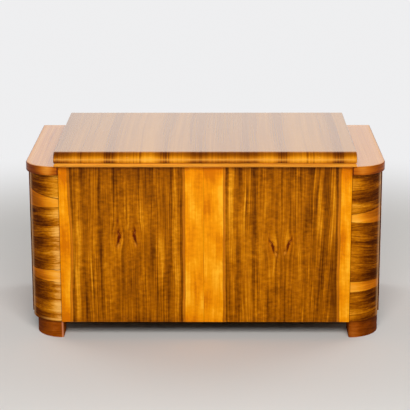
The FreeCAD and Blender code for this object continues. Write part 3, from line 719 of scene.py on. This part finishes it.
def pillar_places(graph, look):
    """Places on a pillar: round it from the front, and across its level grain."""
    at = SimpleNamespace()
    x, y, at.z = graph.position()
    bend = graph.math("ARCTAN2", abs(x) - PILLAR_CENTRE_X, PILLAR_CENTRE_Y - y)
    at.along = bend * PILLAR_RADIUS
    at.share = (at.along - MARK_START) / MARK_SPAN
    wobble = graph.waver(at.z / 0.05, at.along / 0.12, look.seed) * 0.014
    (_, upper_foot), _ = look.bands[0]
    (lower_head, _), _ = look.bands[1]
    below_upper = 1.0 - graph.smooth(at.z, upper_foot - 0.04, upper_foot)
    between = graph.smooth(at.z, lower_head, lower_head + 0.04) * below_upper
    at.across = at.z + (between * 0.16 - 0.03) * at.along + wobble
    at.figure = graph.waver(at.across / 0.030, at.along / 0.050, look.seed + 41.0, detail=3.0)
    at.vessel = pores(graph, at.across, at.along, look.seed + 17.0)
    return at


def pillar_tone(graph, at, look):
    # Painted light and shade round the pillar, from the joint with the front outwards
    tone = graph.profile(at.along + PILLAR_LAP, PILLAR_TURN, look.shading)
    tone = tone + graph.streaks(at.across, at.along, look.seed + 3.0, PILLAR_STREAKS)
    ragged = at.z + graph.waver(at.across / 0.003, at.along / 0.06, look.seed + 53.0) * 0.012
    for (inner_top, inner_bottom, inner_change), (outer_top, outer_bottom, outer_change) in look.marks:
        top = graph.choose(at.share, inner_top, outer_top)
        bottom = graph.choose(at.share, inner_bottom, outer_bottom)
        change = graph.choose(at.share, inner_change, outer_change)
        inside = graph.smooth(top - ragged, -0.004, 0.006) * graph.smooth(ragged - bottom, -0.004, 0.006)
        tone = tone + inside * change * 0.80
    ripple = graph.waver(at.along / 0.008, at.across / 0.005, look.seed + 11.0, detail=1.0)
    hairline = graph.noise(at.across / 0.0052, at.along / 0.30, look.seed + 47.0, detail=1.0)
    # Painted light at the top of the pillar, under the cap
    painted_light_under_cap = graph.smooth(at.z, PILLAR_TOP - 0.024, PILLAR_TOP - 0.002)
    tone = tone + at.figure * 0.36 + ripple * 0.24 + painted_light_under_cap * 0.10
    return tone - graph.smooth(hairline, 0.60, 0.70) * 0.16


def pillar_bands(graph, at, look, colour):
    """Colour with the slanting bands of sapwood in it, each between dark lines."""
    tone = 0.68 + graph.streaks(at.across, at.along, look.seed + 29.0, PILLAR_SAP_STREAKS)
    # Painted shade on the sapwood, darker towards the pillar's outer turn
    tone = tone + at.figure * 0.4 - at.vessel * 0.08 - graph.smooth(at.along, 0.004, 0.070) * 0.52
    sap = graph.ramp(tone, PILLAR_SAP)
    wander = graph.waver(at.along / 0.03, at.z / 0.4, look.seed + 37.0) * 0.006
    for (inner_top, inner_bottom), (outer_top, outer_bottom) in look.bands:
        top = graph.choose(at.share, inner_top, outer_top) + wander
        bottom = graph.choose(at.share, inner_bottom, outer_bottom) + wander
        inside = graph.smooth(top - at.z, -0.0006, 0.0010) * graph.smooth(at.z - bottom, -0.0006, 0.0010)
        colour = graph.mix(inside, colour, sap)
        line = graph.bell(at.z - top - 0.0008, 0.0016) + graph.bell(at.z - bottom + 0.0008, 0.0013) * 0.7
        colour = graph.mix(line * 0.75, colour, BAND_LINE)
    return colour


def pillar_edges(graph, at, look, tone, colour):
    """Colour with a painted sheen beside the front, a pale painted highlight on the lower arris and painted
    shade on the underside.
    """
    # Painted sheen beside the front, on the lighter wood low on the pillar
    lustre = graph.bell(at.along - 0.004, 0.015) * graph.smooth(tone, 0.50, 0.85)
    lustre = lustre * (1.0 - graph.smooth(at.z, *LUSTRE_HEIGHT)) * 0.7
    colour = graph.mix(lustre * look.painted_sheen_strength, colour, PILLAR_LUSTRE)
    # Painted highlight along the lower arris
    arris = graph.bell(at.z - FRONT_BOTTOM - 0.0052, 0.0026) * (1.0 - graph.smooth(at.along, 0.020, 0.080))
    colour = graph.mix(arris * look.painted_sheen_strength, colour, PILLAR_ARRIS_HIGHLIGHT)
    # Painted shade along the underside, above the foot
    underside = 1.0 - graph.smooth(at.z, FRONT_BOTTOM + 0.0002, FRONT_BOTTOM + 0.0020)
    return graph.mix(underside * 0.55, colour, PILLAR_UNDERSIDE_SHADE)


def pillar_veneer(side):
    """Cross-grained veneer bent round a pillar."""
    look = PILLARS[side]
    material, graph = new_graph(f"pillar_veneer_walnut_{side}")
    at = pillar_places(graph, look)
    tone = pillar_tone(graph, at, look)
    colour = graph.ramp(tone - at.vessel * 0.12, PILLAR_HEART)
    colour = pillar_bands(graph, at, look, colour)
    colour = pillar_edges(graph, at, look, tone, colour)
    # Painted shade in the corner beside the front panel, with less coat there
    corner_shade = 1.0 - graph.smooth(at.along, -0.0022, 0.0008)
    colour = graph.mix(corner_shade * 0.80, colour, PILLAR_CORNER_SHADE)
    # Painted sheen on the pillar's outer turn, with more coat there
    sheen = graph.smooth(at.along, 0.087, 0.112) * (1.0 - graph.smooth(at.along, 0.112, 0.123))
    colour = graph.mix(sheen * 0.46, colour, PILLAR_SHEEN)
    coat = 0.05 - corner_shade * 0.05 + sheen * 0.20
    roughness = 0.28 + at.vessel * 0.1
    lacquer(graph, colour, roughness, tone * 0.3 - at.vessel, coat=coat, specular=0.0)
    return material


def lid_lines(graph, across, along, leaf):
    """Narrow dark lines in the lid's figure."""
    lines = 0.0
    for place in LID_LINES:
        lines = graph.bell(across - place, 0.0019) + lines
    broken = graph.noise(across / 0.010, along / 0.05, leaf + 17.0)
    return lines * (0.30 + broken * 1.2)


def lid_nose_marks(graph, x, z, leaf, tone):
    """Painted shade towards the crest of the rolled edge, a painted dark reflection under it, and the
    painted glint along it.
    """
    # Painted shade towards the crest
    crest = graph.smooth(z, LID_TOP - 0.016, LID_TOP - 0.003) * 0.30
    wave = graph.waver(x / 0.022, leaf, 67.0) * 0.005
    glint_strength = 0.25 + graph.noise(x / 0.030, leaf, 61.0) * 0.35
    glint = graph.bell(z - LID_TOP + 0.0178 - wave * 0.4, 0.0024) * glint_strength
    under_strength = 0.05 + graph.smooth(0.60 - tone, 0.0, 0.24) * 0.15
    # Painted dark reflection under the roll
    under = graph.bell(z - LID_TOP + 0.0258 - wave, 0.0044) * under_strength
    return crest + under, glint


def lid_veneer():
    """Two book-matched leaves that run back from the rolled front edge, glossier on the flat top."""
    material, graph = new_graph("lid_veneer_walnut")
    x, y, z = graph.position()
    from_joint = x - LID_JOINT
    leaf = (from_joint > 0.0) * 0.3
    along = y + z
    drift = graph.waver(x / 0.13, along / 0.60, 5.0, detail=0.0) * 0.022
    across = abs(from_joint) + drift * graph.smooth(y, LID_FRONT + 0.003, LID_FRONT + 0.423)

    broad = graph.profile(across, LID_FIGURE_SPAN, LID_BANDS)
    fade = graph.noise(across / 0.03, along / 0.20, leaf + 15.0)
    tone = 0.5 + (broad - 0.5) * (0.50 + fade)
    lines = lid_lines(graph, across, along, leaf)
    fine = graph.streaks(across, along, leaf + 21.0, LID_STREAKS)
    vessel = pores(graph, across, along, 33.0)
    flat_tone = 0.56 + (tone - 0.5) * 0.37 + fine * 0.36 - lines * 0.045
    nose_shade, glint = lid_nose_marks(graph, x, z, leaf, tone)
    nose_tone = tone + 0.115 + fine * 0.80 - lines * 0.24 - nose_shade
    on_flat = graph.smooth(y, LID_FRONT + 0.011, LID_FRONT + 0.024)
    tone = graph.choose(on_flat, nose_tone, flat_tone)

    nose_colour = graph.ramp(tone - vessel * 0.08, LID_NOSE)
    nose_colour = graph.mix(glint, nose_colour, NOSE_GLINT)
    flat_colour = graph.ramp(tone - vessel * 0.04, LID_FLAT)
    colour = graph.mix(on_flat, nose_colour, flat_colour)
    coat = graph.choose(graph.smooth(y, LID_FRONT + 0.017, LID_FRONT + 0.027), 0.10, 1.0)
    lacquer(graph, colour, 0.24 + vessel * 0.1, tone * 0.2 - vessel, coat=coat, specular=0.09)
    return material


def cap_grain(graph, x, y):
    """Place across the grain on top of a cap."""
    return x + graph.waver(x / 0.08, y / 0.30, 2.0) * 0.008


def cap_veneer():
    """Straight-grained veneer on top of a cap."""
    material, graph = new_graph("cap_veneer_straight")
    x, y, _ = graph.position()
    bent = cap_grain(graph, x, y)
    left = x < 0.0
    contrast = 0.60 + left * 0.30
    tone = 0.55 - left * 0.07 + contrast * graph.streaks(bent, y, 4.0, CAP_STREAKS)
    vessel = pores(graph, bent, y, 14.0)
    colour = graph.ramp(tone - vessel * 0.10, CAP_WOOD)
    lacquer(graph, colour, 0.24 + vessel * 0.1, tone * 0.2 - vessel, coat=0.9, specular=0.12)
    return material


def cap_lipping():
    """Solid strip bent round a cap, paler on top and dark at its inner ends."""
    material, graph = new_graph("cap_lipping_wood")
    x, y, z = graph.position()
    left = x < 0.0
    bend = graph.math("ARCTAN2", abs(x) - CAP_CENTRE_X, CAP_CENTRE_Y - y)
    along = bend * CAP_RADIUS
    # Painted light and shade round the lipping, with a painted highlight near the front of the left one,
    # which is darker overall
    tone = graph.profile(along + LIPPING_LAP, LIPPING_TURN, LIPPING_SHADING)
    tone = tone + left * (graph.bell(along - 0.022, 0.018) * 0.20 - 0.08) + 0.03
    tone = tone + graph.streaks(z, along, 3.0, LIPPING_STREAKS)
    # Darker towards its bottom edge: painted shade
    tone = tone - (1.0 - graph.smooth(z, CAP_BOTTOM, CAP_BOTTOM + 0.008)) * 0.12
    vessel = pores(graph, z, along, 14.0)
    front = graph.ramp(tone - vessel * 0.10, LIPPING_WOOD)
    top_tone = 0.55 + graph.streaks(cap_grain(graph, x, y), y, 4.0, LIPPING_TOP_STREAKS)
    on_top = graph.smooth(graph.normal()[2], 0.80, 0.985)
    colour = graph.mix(on_top, front, graph.ramp(top_tone, CAP_WOOD))
    inner_end = 1.0 - graph.smooth(abs(x), CAP_INNER + 0.0016, CAP_INNER + 0.0048)
    inner_end = inner_end * graph.smooth(CAP_FRONT - y, -0.009, -0.003)
    colour = graph.mix(inner_end * 0.9, colour, LIPPING_END)
    coat = graph.choose(on_top, 0.07, 0.9)
    lacquer(graph, colour, 0.26 + vessel * 0.1, tone * 0.2 - vessel, coat=coat, specular=0.03)
    return material


def front_foot():
    """Quarter-round block with its grain across, with painted light and shade, and a pale painted highlight
    on the left block's inner arris.
    """
    material, graph = new_graph("front_foot_wood")
    x, y, z = graph.position()
    right = x > 0.0
    outward = abs(x) - FOOT_INNER
    # Painted light and shade round each front foot, from the inside outwards
    left_shading = graph.profile(outward, FOOT_SPAN, LEFT_FOOT_SHADING)
    right_shading = graph.profile(outward, FOOT_SPAN, RIGHT_FOOT_SHADING)
    tone = graph.choose(right, left_shading, right_shading)
    across = z + outward * 0.12 + graph.waver(outward / 0.04, z / 0.03, right) * 0.010
    tone = tone + graph.streaks(across, outward, right * 3.0 + 5.0, FOOT_STREAKS)
    blotch = graph.waver(x / 0.022, y / 0.022, z / 0.014, detail=3.0)
    # Random blotches, and painted shade that darkens the foot towards its top
    tone = tone + blotch * 0.36 + (FOOT_MIDDLE - z) * 3.0
    vessel = pores(graph, across, outward, 14.0)
    colour = graph.ramp(tone - vessel * 0.10, FRONT_FOOT_WOOD)
    # Painted shade along the top of the foot, under the pillar
    joint_shade = graph.smooth(z, FRONT_BOTTOM - 0.0070, FRONT_BOTTOM - 0.0005)
    colour = graph.mix(joint_shade * 0.60, colour, FOOT_JOINT_SHADE)
    # Painted highlight on the left foot's inner arris
    facing = graph.normal()[0]
    arris = graph.smooth(facing, 0.04, 0.20) * (1.0 - graph.smooth(facing, 0.75, 0.95)) * (1.0 - right)
    colour = graph.mix(arris * 0.85, colour, FOOT_ARRIS_HIGHLIGHT)
    roughness = 0.36 + vessel * 0.1
    lacquer(graph, colour, roughness, tone * 0.3 - vessel, coat=0.08, specular=0.0, depth=COARSE_RELIEF)
    return material


def end_veneer():
    """Upright veneer on an end, book-matched about its middle."""
    material, graph = new_graph("end_veneer_walnut")
    _, y, z = graph.position()
    bent = y + graph.waver(y / 0.12, z / 0.30, 2.0) * 0.022
    across = abs(bent - END_JOINT)
    tone = 0.43 + graph.streaks(across, z, 4.0, END_STREAKS)
    hairline = graph.smooth(graph.noise(across / 0.0055, z / 0.40, 8.0, detail=0.0), 0.60, 0.70)
    cloud = graph.waver(across / 0.05, z / 0.10, 6.0, detail=3.0)
    ripple = graph.waver(across / 0.014, z / 0.0085, 9.0, detail=1.0)
    tone = tone - hairline * 0.16 + cloud * 0.40 + ripple * 0.22
    vessel = pores(graph, across, z, 14.0)
    colour = graph.ramp(tone - vessel * 0.10, HEARTWOOD)
    lacquer(graph, colour, 0.28 + vessel * 0.1, tone * 0.3 - vessel, coat=0.15, specular=0.0)
    return material


def timber(
    name, along_axis, shades, coat=0.25, specular=0.03, roughness=0.32, wear=0.35, wear_colour=EDGE_WEAR,
    inner_shades=None,
):
    """Solid timber with its grain along one axis. Shades run from dark to light.

    Wear is how far the arrises turn to the wear colour. Inner shades are for the faces that look towards
    the middle of the chest.
    """
    material, graph = new_graph(name)
    place = dict(zip("xyz", graph.position()))
    sideways = place["x"]
    along = place.pop(along_axis)
    first, second = place.values()
    wander = graph.waver(first / 0.10, second / 0.10, along / 0.40) * 0.02
    across = first * SKEW_COSINE + second * SKEW_SINE + wander
    other = second * SKEW_COSINE - first * SKEW_SINE
    tone = 0.5
    for number, (width, length, weight) in enumerate(TIMBER_STREAKS):
        layer = graph.waver(across / width, along / length, other / (width * 2) + TIMBER_SEED_STEP * number)
        tone = layer * weight + tone
    fine = graph.noise(across / 0.0008, along / 0.014, other / 0.0016, detail=1.0)
    vessel = graph.smooth(fine, *PORE_NOISE)
    shade = tone - vessel * 0.10
    colour = graph.ramp(shade, shade_stops(shades))
    if inner_shades:
        inward = -(graph.normal()[0] * graph.math("SIGN", sideways))
        inner = graph.ramp(shade, shade_stops(inner_shades))
        colour = graph.mix(graph.smooth(inward, 0.5, 0.9), colour, inner)
    if wear:
        patchy = graph.smooth(graph.noise(first / 0.02, second / 0.02, along / 0.03), 0.35, 0.65)
        colour = graph.mix(graph.edges(WOOD_ARRIS) * patchy * wear, colour, wear_colour)
    roughness = (0.5 - tone) * 0.10 + roughness
    lacquer(graph, colour, roughness, tone * 0.3 - vessel, coat, specular, COARSE_RELIEF)
    return material


def plywood(name, along_axis, shades):
    """Rotary-cut face veneer with cathedral figure along one axis, dark underneath."""
    material, graph = new_graph(name)
    place = dict(zip("xyz", graph.position()))
    along = place[along_axis]
    first, second = (place[axis] for axis in "xyz" if axis != along_axis)
    across = first + second
    swirl = graph.noise(across / 0.20, along / 0.90, 3.0, detail=1.0) * 0.16
    swirl = swirl + graph.noise(across / 0.03, along / 0.16, 5.0) * 0.006
    ring = graph.math("FRACT", (swirl + across * 0.12) / RING_WIDTH)
    late = graph.smooth(ring, 0.25, 0.88) * (1.0 - graph.smooth(ring, 0.90, 1.0))
    tone = 0.58 - late * 0.20 + graph.streaks(across, along, 7.0, PLY_STREAKS)
    blotch = graph.waver(across / 0.22, along / 0.30, 19.0)
    colour = graph.ramp(tone + blotch * 0.30, shade_stops(shades))
    # Darker on the faces that look down near the floor
    near_floor = 1.0 - graph.smooth(place["z"], *DARK_BELOW_HEIGHT)
    dark_below = graph.smooth(-graph.normal()[2], 0.5, 0.9) * near_floor
    colour = graph.mix(dark_below * 0.85, colour, UNDERSIDE_DARK)
    finish(graph, colour, 0.62 + blotch * 0.15, tone, PLY_RELIEF, Specular_IOR_Level=0.3)
    return material


def brass():
    """Brass with a patchy patina, brighter on its arrises."""
    material, graph = new_graph("aged_brass")
    x, y, z = graph.position()
    patina = graph.noise(x / 0.009, y / 0.009, z / 0.009, detail=4.0, roughness=0.6)
    speck = graph.smooth(graph.noise(x / 0.0016, y / 0.0016, z / 0.0016), 0.62, 0.74)
    colour = graph.ramp(patina - speck * 0.2, BRASS)
    colour = graph.mix(graph.edges(BRASS_ARRIS) * 0.5, colour, BRASS_EDGE)
    scratch = graph.noise(x / 0.0006, y / 0.012, z / 0.004)
    roughness = 0.52 - patina * 0.32 + speck * 0.2
    finish(graph, colour, roughness, scratch - speck, BRASS_RELIEF, Metallic=0.55)
    return material


def steel():
    """Dull steel with some rust."""
    material, graph = new_graph("dull_steel")
    x, y, z = graph.position()
    rust = graph.noise(x / 0.004, y / 0.004, z / 0.004, detail=3.0)
    finish(graph, graph.ramp(rust, STEEL), 0.35 + rust * 0.3, rust, STEEL_RELIEF, Metallic=0.9)
    return material


def pine(axis):
    return timber(
        f"pine_along_{axis}", axis, PINE, coat=0.0, specular=0.3, roughness=0.58, wear=0.2,
        wear_colour=PINE_WEAR,
    )


def make_finishes():
    """Materials by the first part of a node's name. The longest name that fits is used."""
    bead_along = timber("bead_wood_along", "y", BEAD_WOOD)
    edge_up = timber("stained_edge_upright", "z", EDGE_WOOD, coat=0.1)
    edge_across = timber("stained_edge_across", "x", EDGE_WOOD, coat=0.1)
    edge_along = timber("stained_edge_along", "y", EDGE_WOOD, coat=0.1)
    pine_up = pine("z")
    aged_brass = brass()
    return {
        "front_leaf": front_veneer(),
        "pillar_veneer_left": pillar_veneer("left"),
        "pillar_veneer_right": pillar_veneer("right"),
        "end_veneer": end_veneer(),
        "cap_veneer": cap_veneer(),
        "cap_lipping": cap_lipping(),
        "lid_leaf": lid_veneer(),
        "lid_bead_front": timber("bead_wood_across", "x", BEAD_WOOD),
        "lid_bead_left": bead_along,
        "lid_bead_right": bead_along,
        "foot_front": front_foot(),
        "foot_rear": timber(
            "foot_wood", "z", FOOT_WOOD, coat=0.08, specular=0.0, roughness=0.36, wear_colour=FOOT_WEAR,
        ),
        "front_panel": edge_up,
        "end_panel": timber(
            "dark_edge_upright", "z", DARK_EDGE, coat=0.0, specular=0.0, wear=0.0, inner_shades=AGED_PLY,
        ),
        "pillar_shell": edge_up,
        "cap_core": edge_along,
        "lid_nosing": edge_across,
        "lid_end_rail": edge_along,
        "lid_top_panel": timber(
            "stained_edge_gloss", "y", EDGE_WOOD, coat=1.0, specular=0.09, roughness=0.24,
        ),
        "lid_back_rail": edge_across,
        "hinge_rail": pine("x"),
        "base_cleats": timber(
            "aged_pine_along_x", "x", AGED_PINE, coat=0.0, specular=0.2, roughness=0.66, wear=0.0,
        ),
        "foot_dowels": pine_up,
        "front_stile": pine_up,
        "end_stile": pine_up,
        "rear_stile": pine_up,
        "corner_block": pine_up,
        "cap_bearer": pine("y"),
        "back_panel_nails": steel(),
        "back_panel": plywood("plywood_back", "z", AGED_PLY),
        "base_panel": plywood("plywood_base", "x", PLY),
        "lid_lining": plywood("plywood_lid", "x", PLY),
        "hinge_left": aged_brass,
        "hinge_right": aged_brass,
        "hinge_pins": aged_brass,
        "stay": aged_brass,
        "carcass_screws": aged_brass,
        "lid_screws": aged_brass,
    }


def dress_nodes():
    """Give every CAD node its one material."""
    finishes = make_finishes()
    for name, piece in nodes.items():
        fitting = [start for start in finishes if name.startswith(start)]
        piece.data.materials.clear()
        piece.data.materials.append(finishes[max(fitting, key=len)])


def floor_finish():
    """Pale floor, shaded beneath the chest and white far from it."""
    material, graph = new_graph("floor_pale")
    x, y, _ = graph.position()
    # Painted shadow on the floor beneath the chest
    beneath = (1.0 - graph.smooth(abs(x), *BENEATH_X)) * (1.0 - graph.smooth(abs(y), *BENEATH_Y))
    diffuse = graph.node("ShaderNodeBsdfDiffuse")
    graph.feed(diffuse.inputs["Color"], graph.mix(beneath * BENEATH_SHARE, FLOOR_PALE, FLOOR_SHADE))
    white = graph.node("ShaderNodeEmission")
    white.inputs["Color"].default_value = FLOOR_FAR
    white.inputs["Strength"].default_value = 1.0
    rays = graph.node("ShaderNodeLightPath")
    camera_ray = Value(graph, rays.outputs["Is Camera Ray"])
    glossy_ray = Value(graph, rays.outputs["Is Glossy Ray"])
    far = graph.smooth(graph.math("SQRT", x * x + y * y), *FAR_DISTANCE)
    blend = graph.node("ShaderNodeMixShader")
    graph.feed(blend.inputs[0], far * graph.math("MAXIMUM", camera_ray, glossy_ray))
    graph.tree.links.new(diffuse.outputs[0], blend.inputs[1])
    graph.tree.links.new(white.outputs[0], blend.inputs[2])
    output = graph.node("ShaderNodeOutputMaterial")
    graph.tree.links.new(blend.outputs[0], output.inputs[0])
    return material


def make_floor():
    mesh = bpy.data.meshes.new("floor")
    turns = [math.tau * number / FLOOR_CORNERS for number in range(FLOOR_CORNERS)]
    corners = [(FLOOR_REACH * math.cos(turn), FLOOR_REACH * math.sin(turn), 0.0) for turn in turns]
    mesh.from_pydata(corners, [], [list(range(FLOOR_CORNERS))])
    mesh.materials.append(floor_finish())
    made = bpy.data.objects.new("floor", mesh)
    bpy.context.scene.collection.objects.link(made)
    return made


def make_world():
    """Soft fill from a pale room with a dark ceiling, front and foot, which the camera sees as plain."""
    world = bpy.data.worlds.new("studio")
    bpy.context.scene.world = world
    world.use_nodes = True
    graph = Graph(world.node_tree)
    sideways, back, rise = graph.parts(graph.node("ShaderNodeTexCoord").outputs["Generated"])
    camera_ray = Value(graph, graph.node("ShaderNodeLightPath").outputs["Is Camera Ray"])
    ceiling = graph.smooth(rise, *CEILING_RISE)
    wall = graph.smooth(back, *WALL_TURN)
    beside = graph.smooth(abs(sideways), *SIDE_TURN) * SIDE_SHARE
    above_foot = graph.math("MAXIMUM", graph.smooth(rise, *FOOT_RISE), beside)
    room = graph.choose(ceiling, graph.choose(wall * above_foot, ROOM_DARK, ROOM_BRIGHT), ROOM_CEILING)
    background = graph.node("ShaderNodeBackground")
    background.inputs["Color"].default_value = ROOM_COLOUR
    graph.feed(background.inputs["Strength"], graph.choose(camera_ray, room, 1.0))
    output = graph.node("ShaderNodeOutputWorld")
    graph.tree.links.new(background.outputs[0], output.inputs[0])


def softbox(name, place, target, size, power):
    """Rectangular lamp that no glossy surface mirrors."""
    lamp = bpy.data.lights.new(name, "AREA")
    lamp.shape = "RECTANGLE"
    lamp.size, lamp.size_y = size
    lamp.energy = power
    lamp.color = LAMP_COLOUR
    holder = bpy.data.objects.new(name, lamp)
    bpy.context.scene.collection.objects.link(holder)
    holder.location = place
    aim = Vector(target) - Vector(place)
    holder.rotation_euler = aim.to_track_quat("-Z", "Y").to_euler()
    holder.visible_glossy = False


def make_lamps():
    softbox("key", KEY_PLACE, KEY_AIM, KEY_SIZE, KEY_POWER)
    softbox("rim_left", (-RIM_OUT, RIM_BACK, RIM_HEIGHT), RIM_AIM, RIM_SIZE, RIM_POWER)
    softbox("rim_right", (RIM_OUT, RIM_BACK, RIM_HEIGHT), RIM_AIM, RIM_SIZE, RIM_POWER)


def make_camera():
    """Camera at the photograph's place, turned by its yaw, tilt and roll."""
    forward = Vector((
        math.sin(YAW) * math.cos(TILT),
        math.cos(YAW) * math.cos(TILT),
        -math.sin(TILT),
    ))
    level = Vector((math.cos(YAW), -math.sin(YAW), 0.0))
    above = level.cross(forward)
    right = level * math.cos(ROLL) + above * math.sin(ROLL)
    up = right.cross(forward)
    lens = bpy.data.cameras.new("camera")
    lens.sensor_width = SENSOR_WIDTH
    lens.lens = SENSOR_WIDTH * FOCAL_PIXELS / IMAGE_PIXELS
    lens.clip_end = VIEW_END
    camera = bpy.data.objects.new("camera", lens)
    bpy.context.scene.collection.objects.link(camera)
    camera.matrix_world = Matrix((
        (right.x, up.x, -forward.x, EYE[0]),
        (right.y, up.y, -forward.y, EYE[1]),
        (right.z, up.z, -forward.z, EYE[2]),
        (0.0, 0.0, 0.0, 1.0),
    ))
    bpy.context.scene.camera = camera


dress_nodes()
floor = make_floor()
make_world()
make_lamps()
make_camera()
bpy.context.scene.view_settings.view_transform = "Standard"
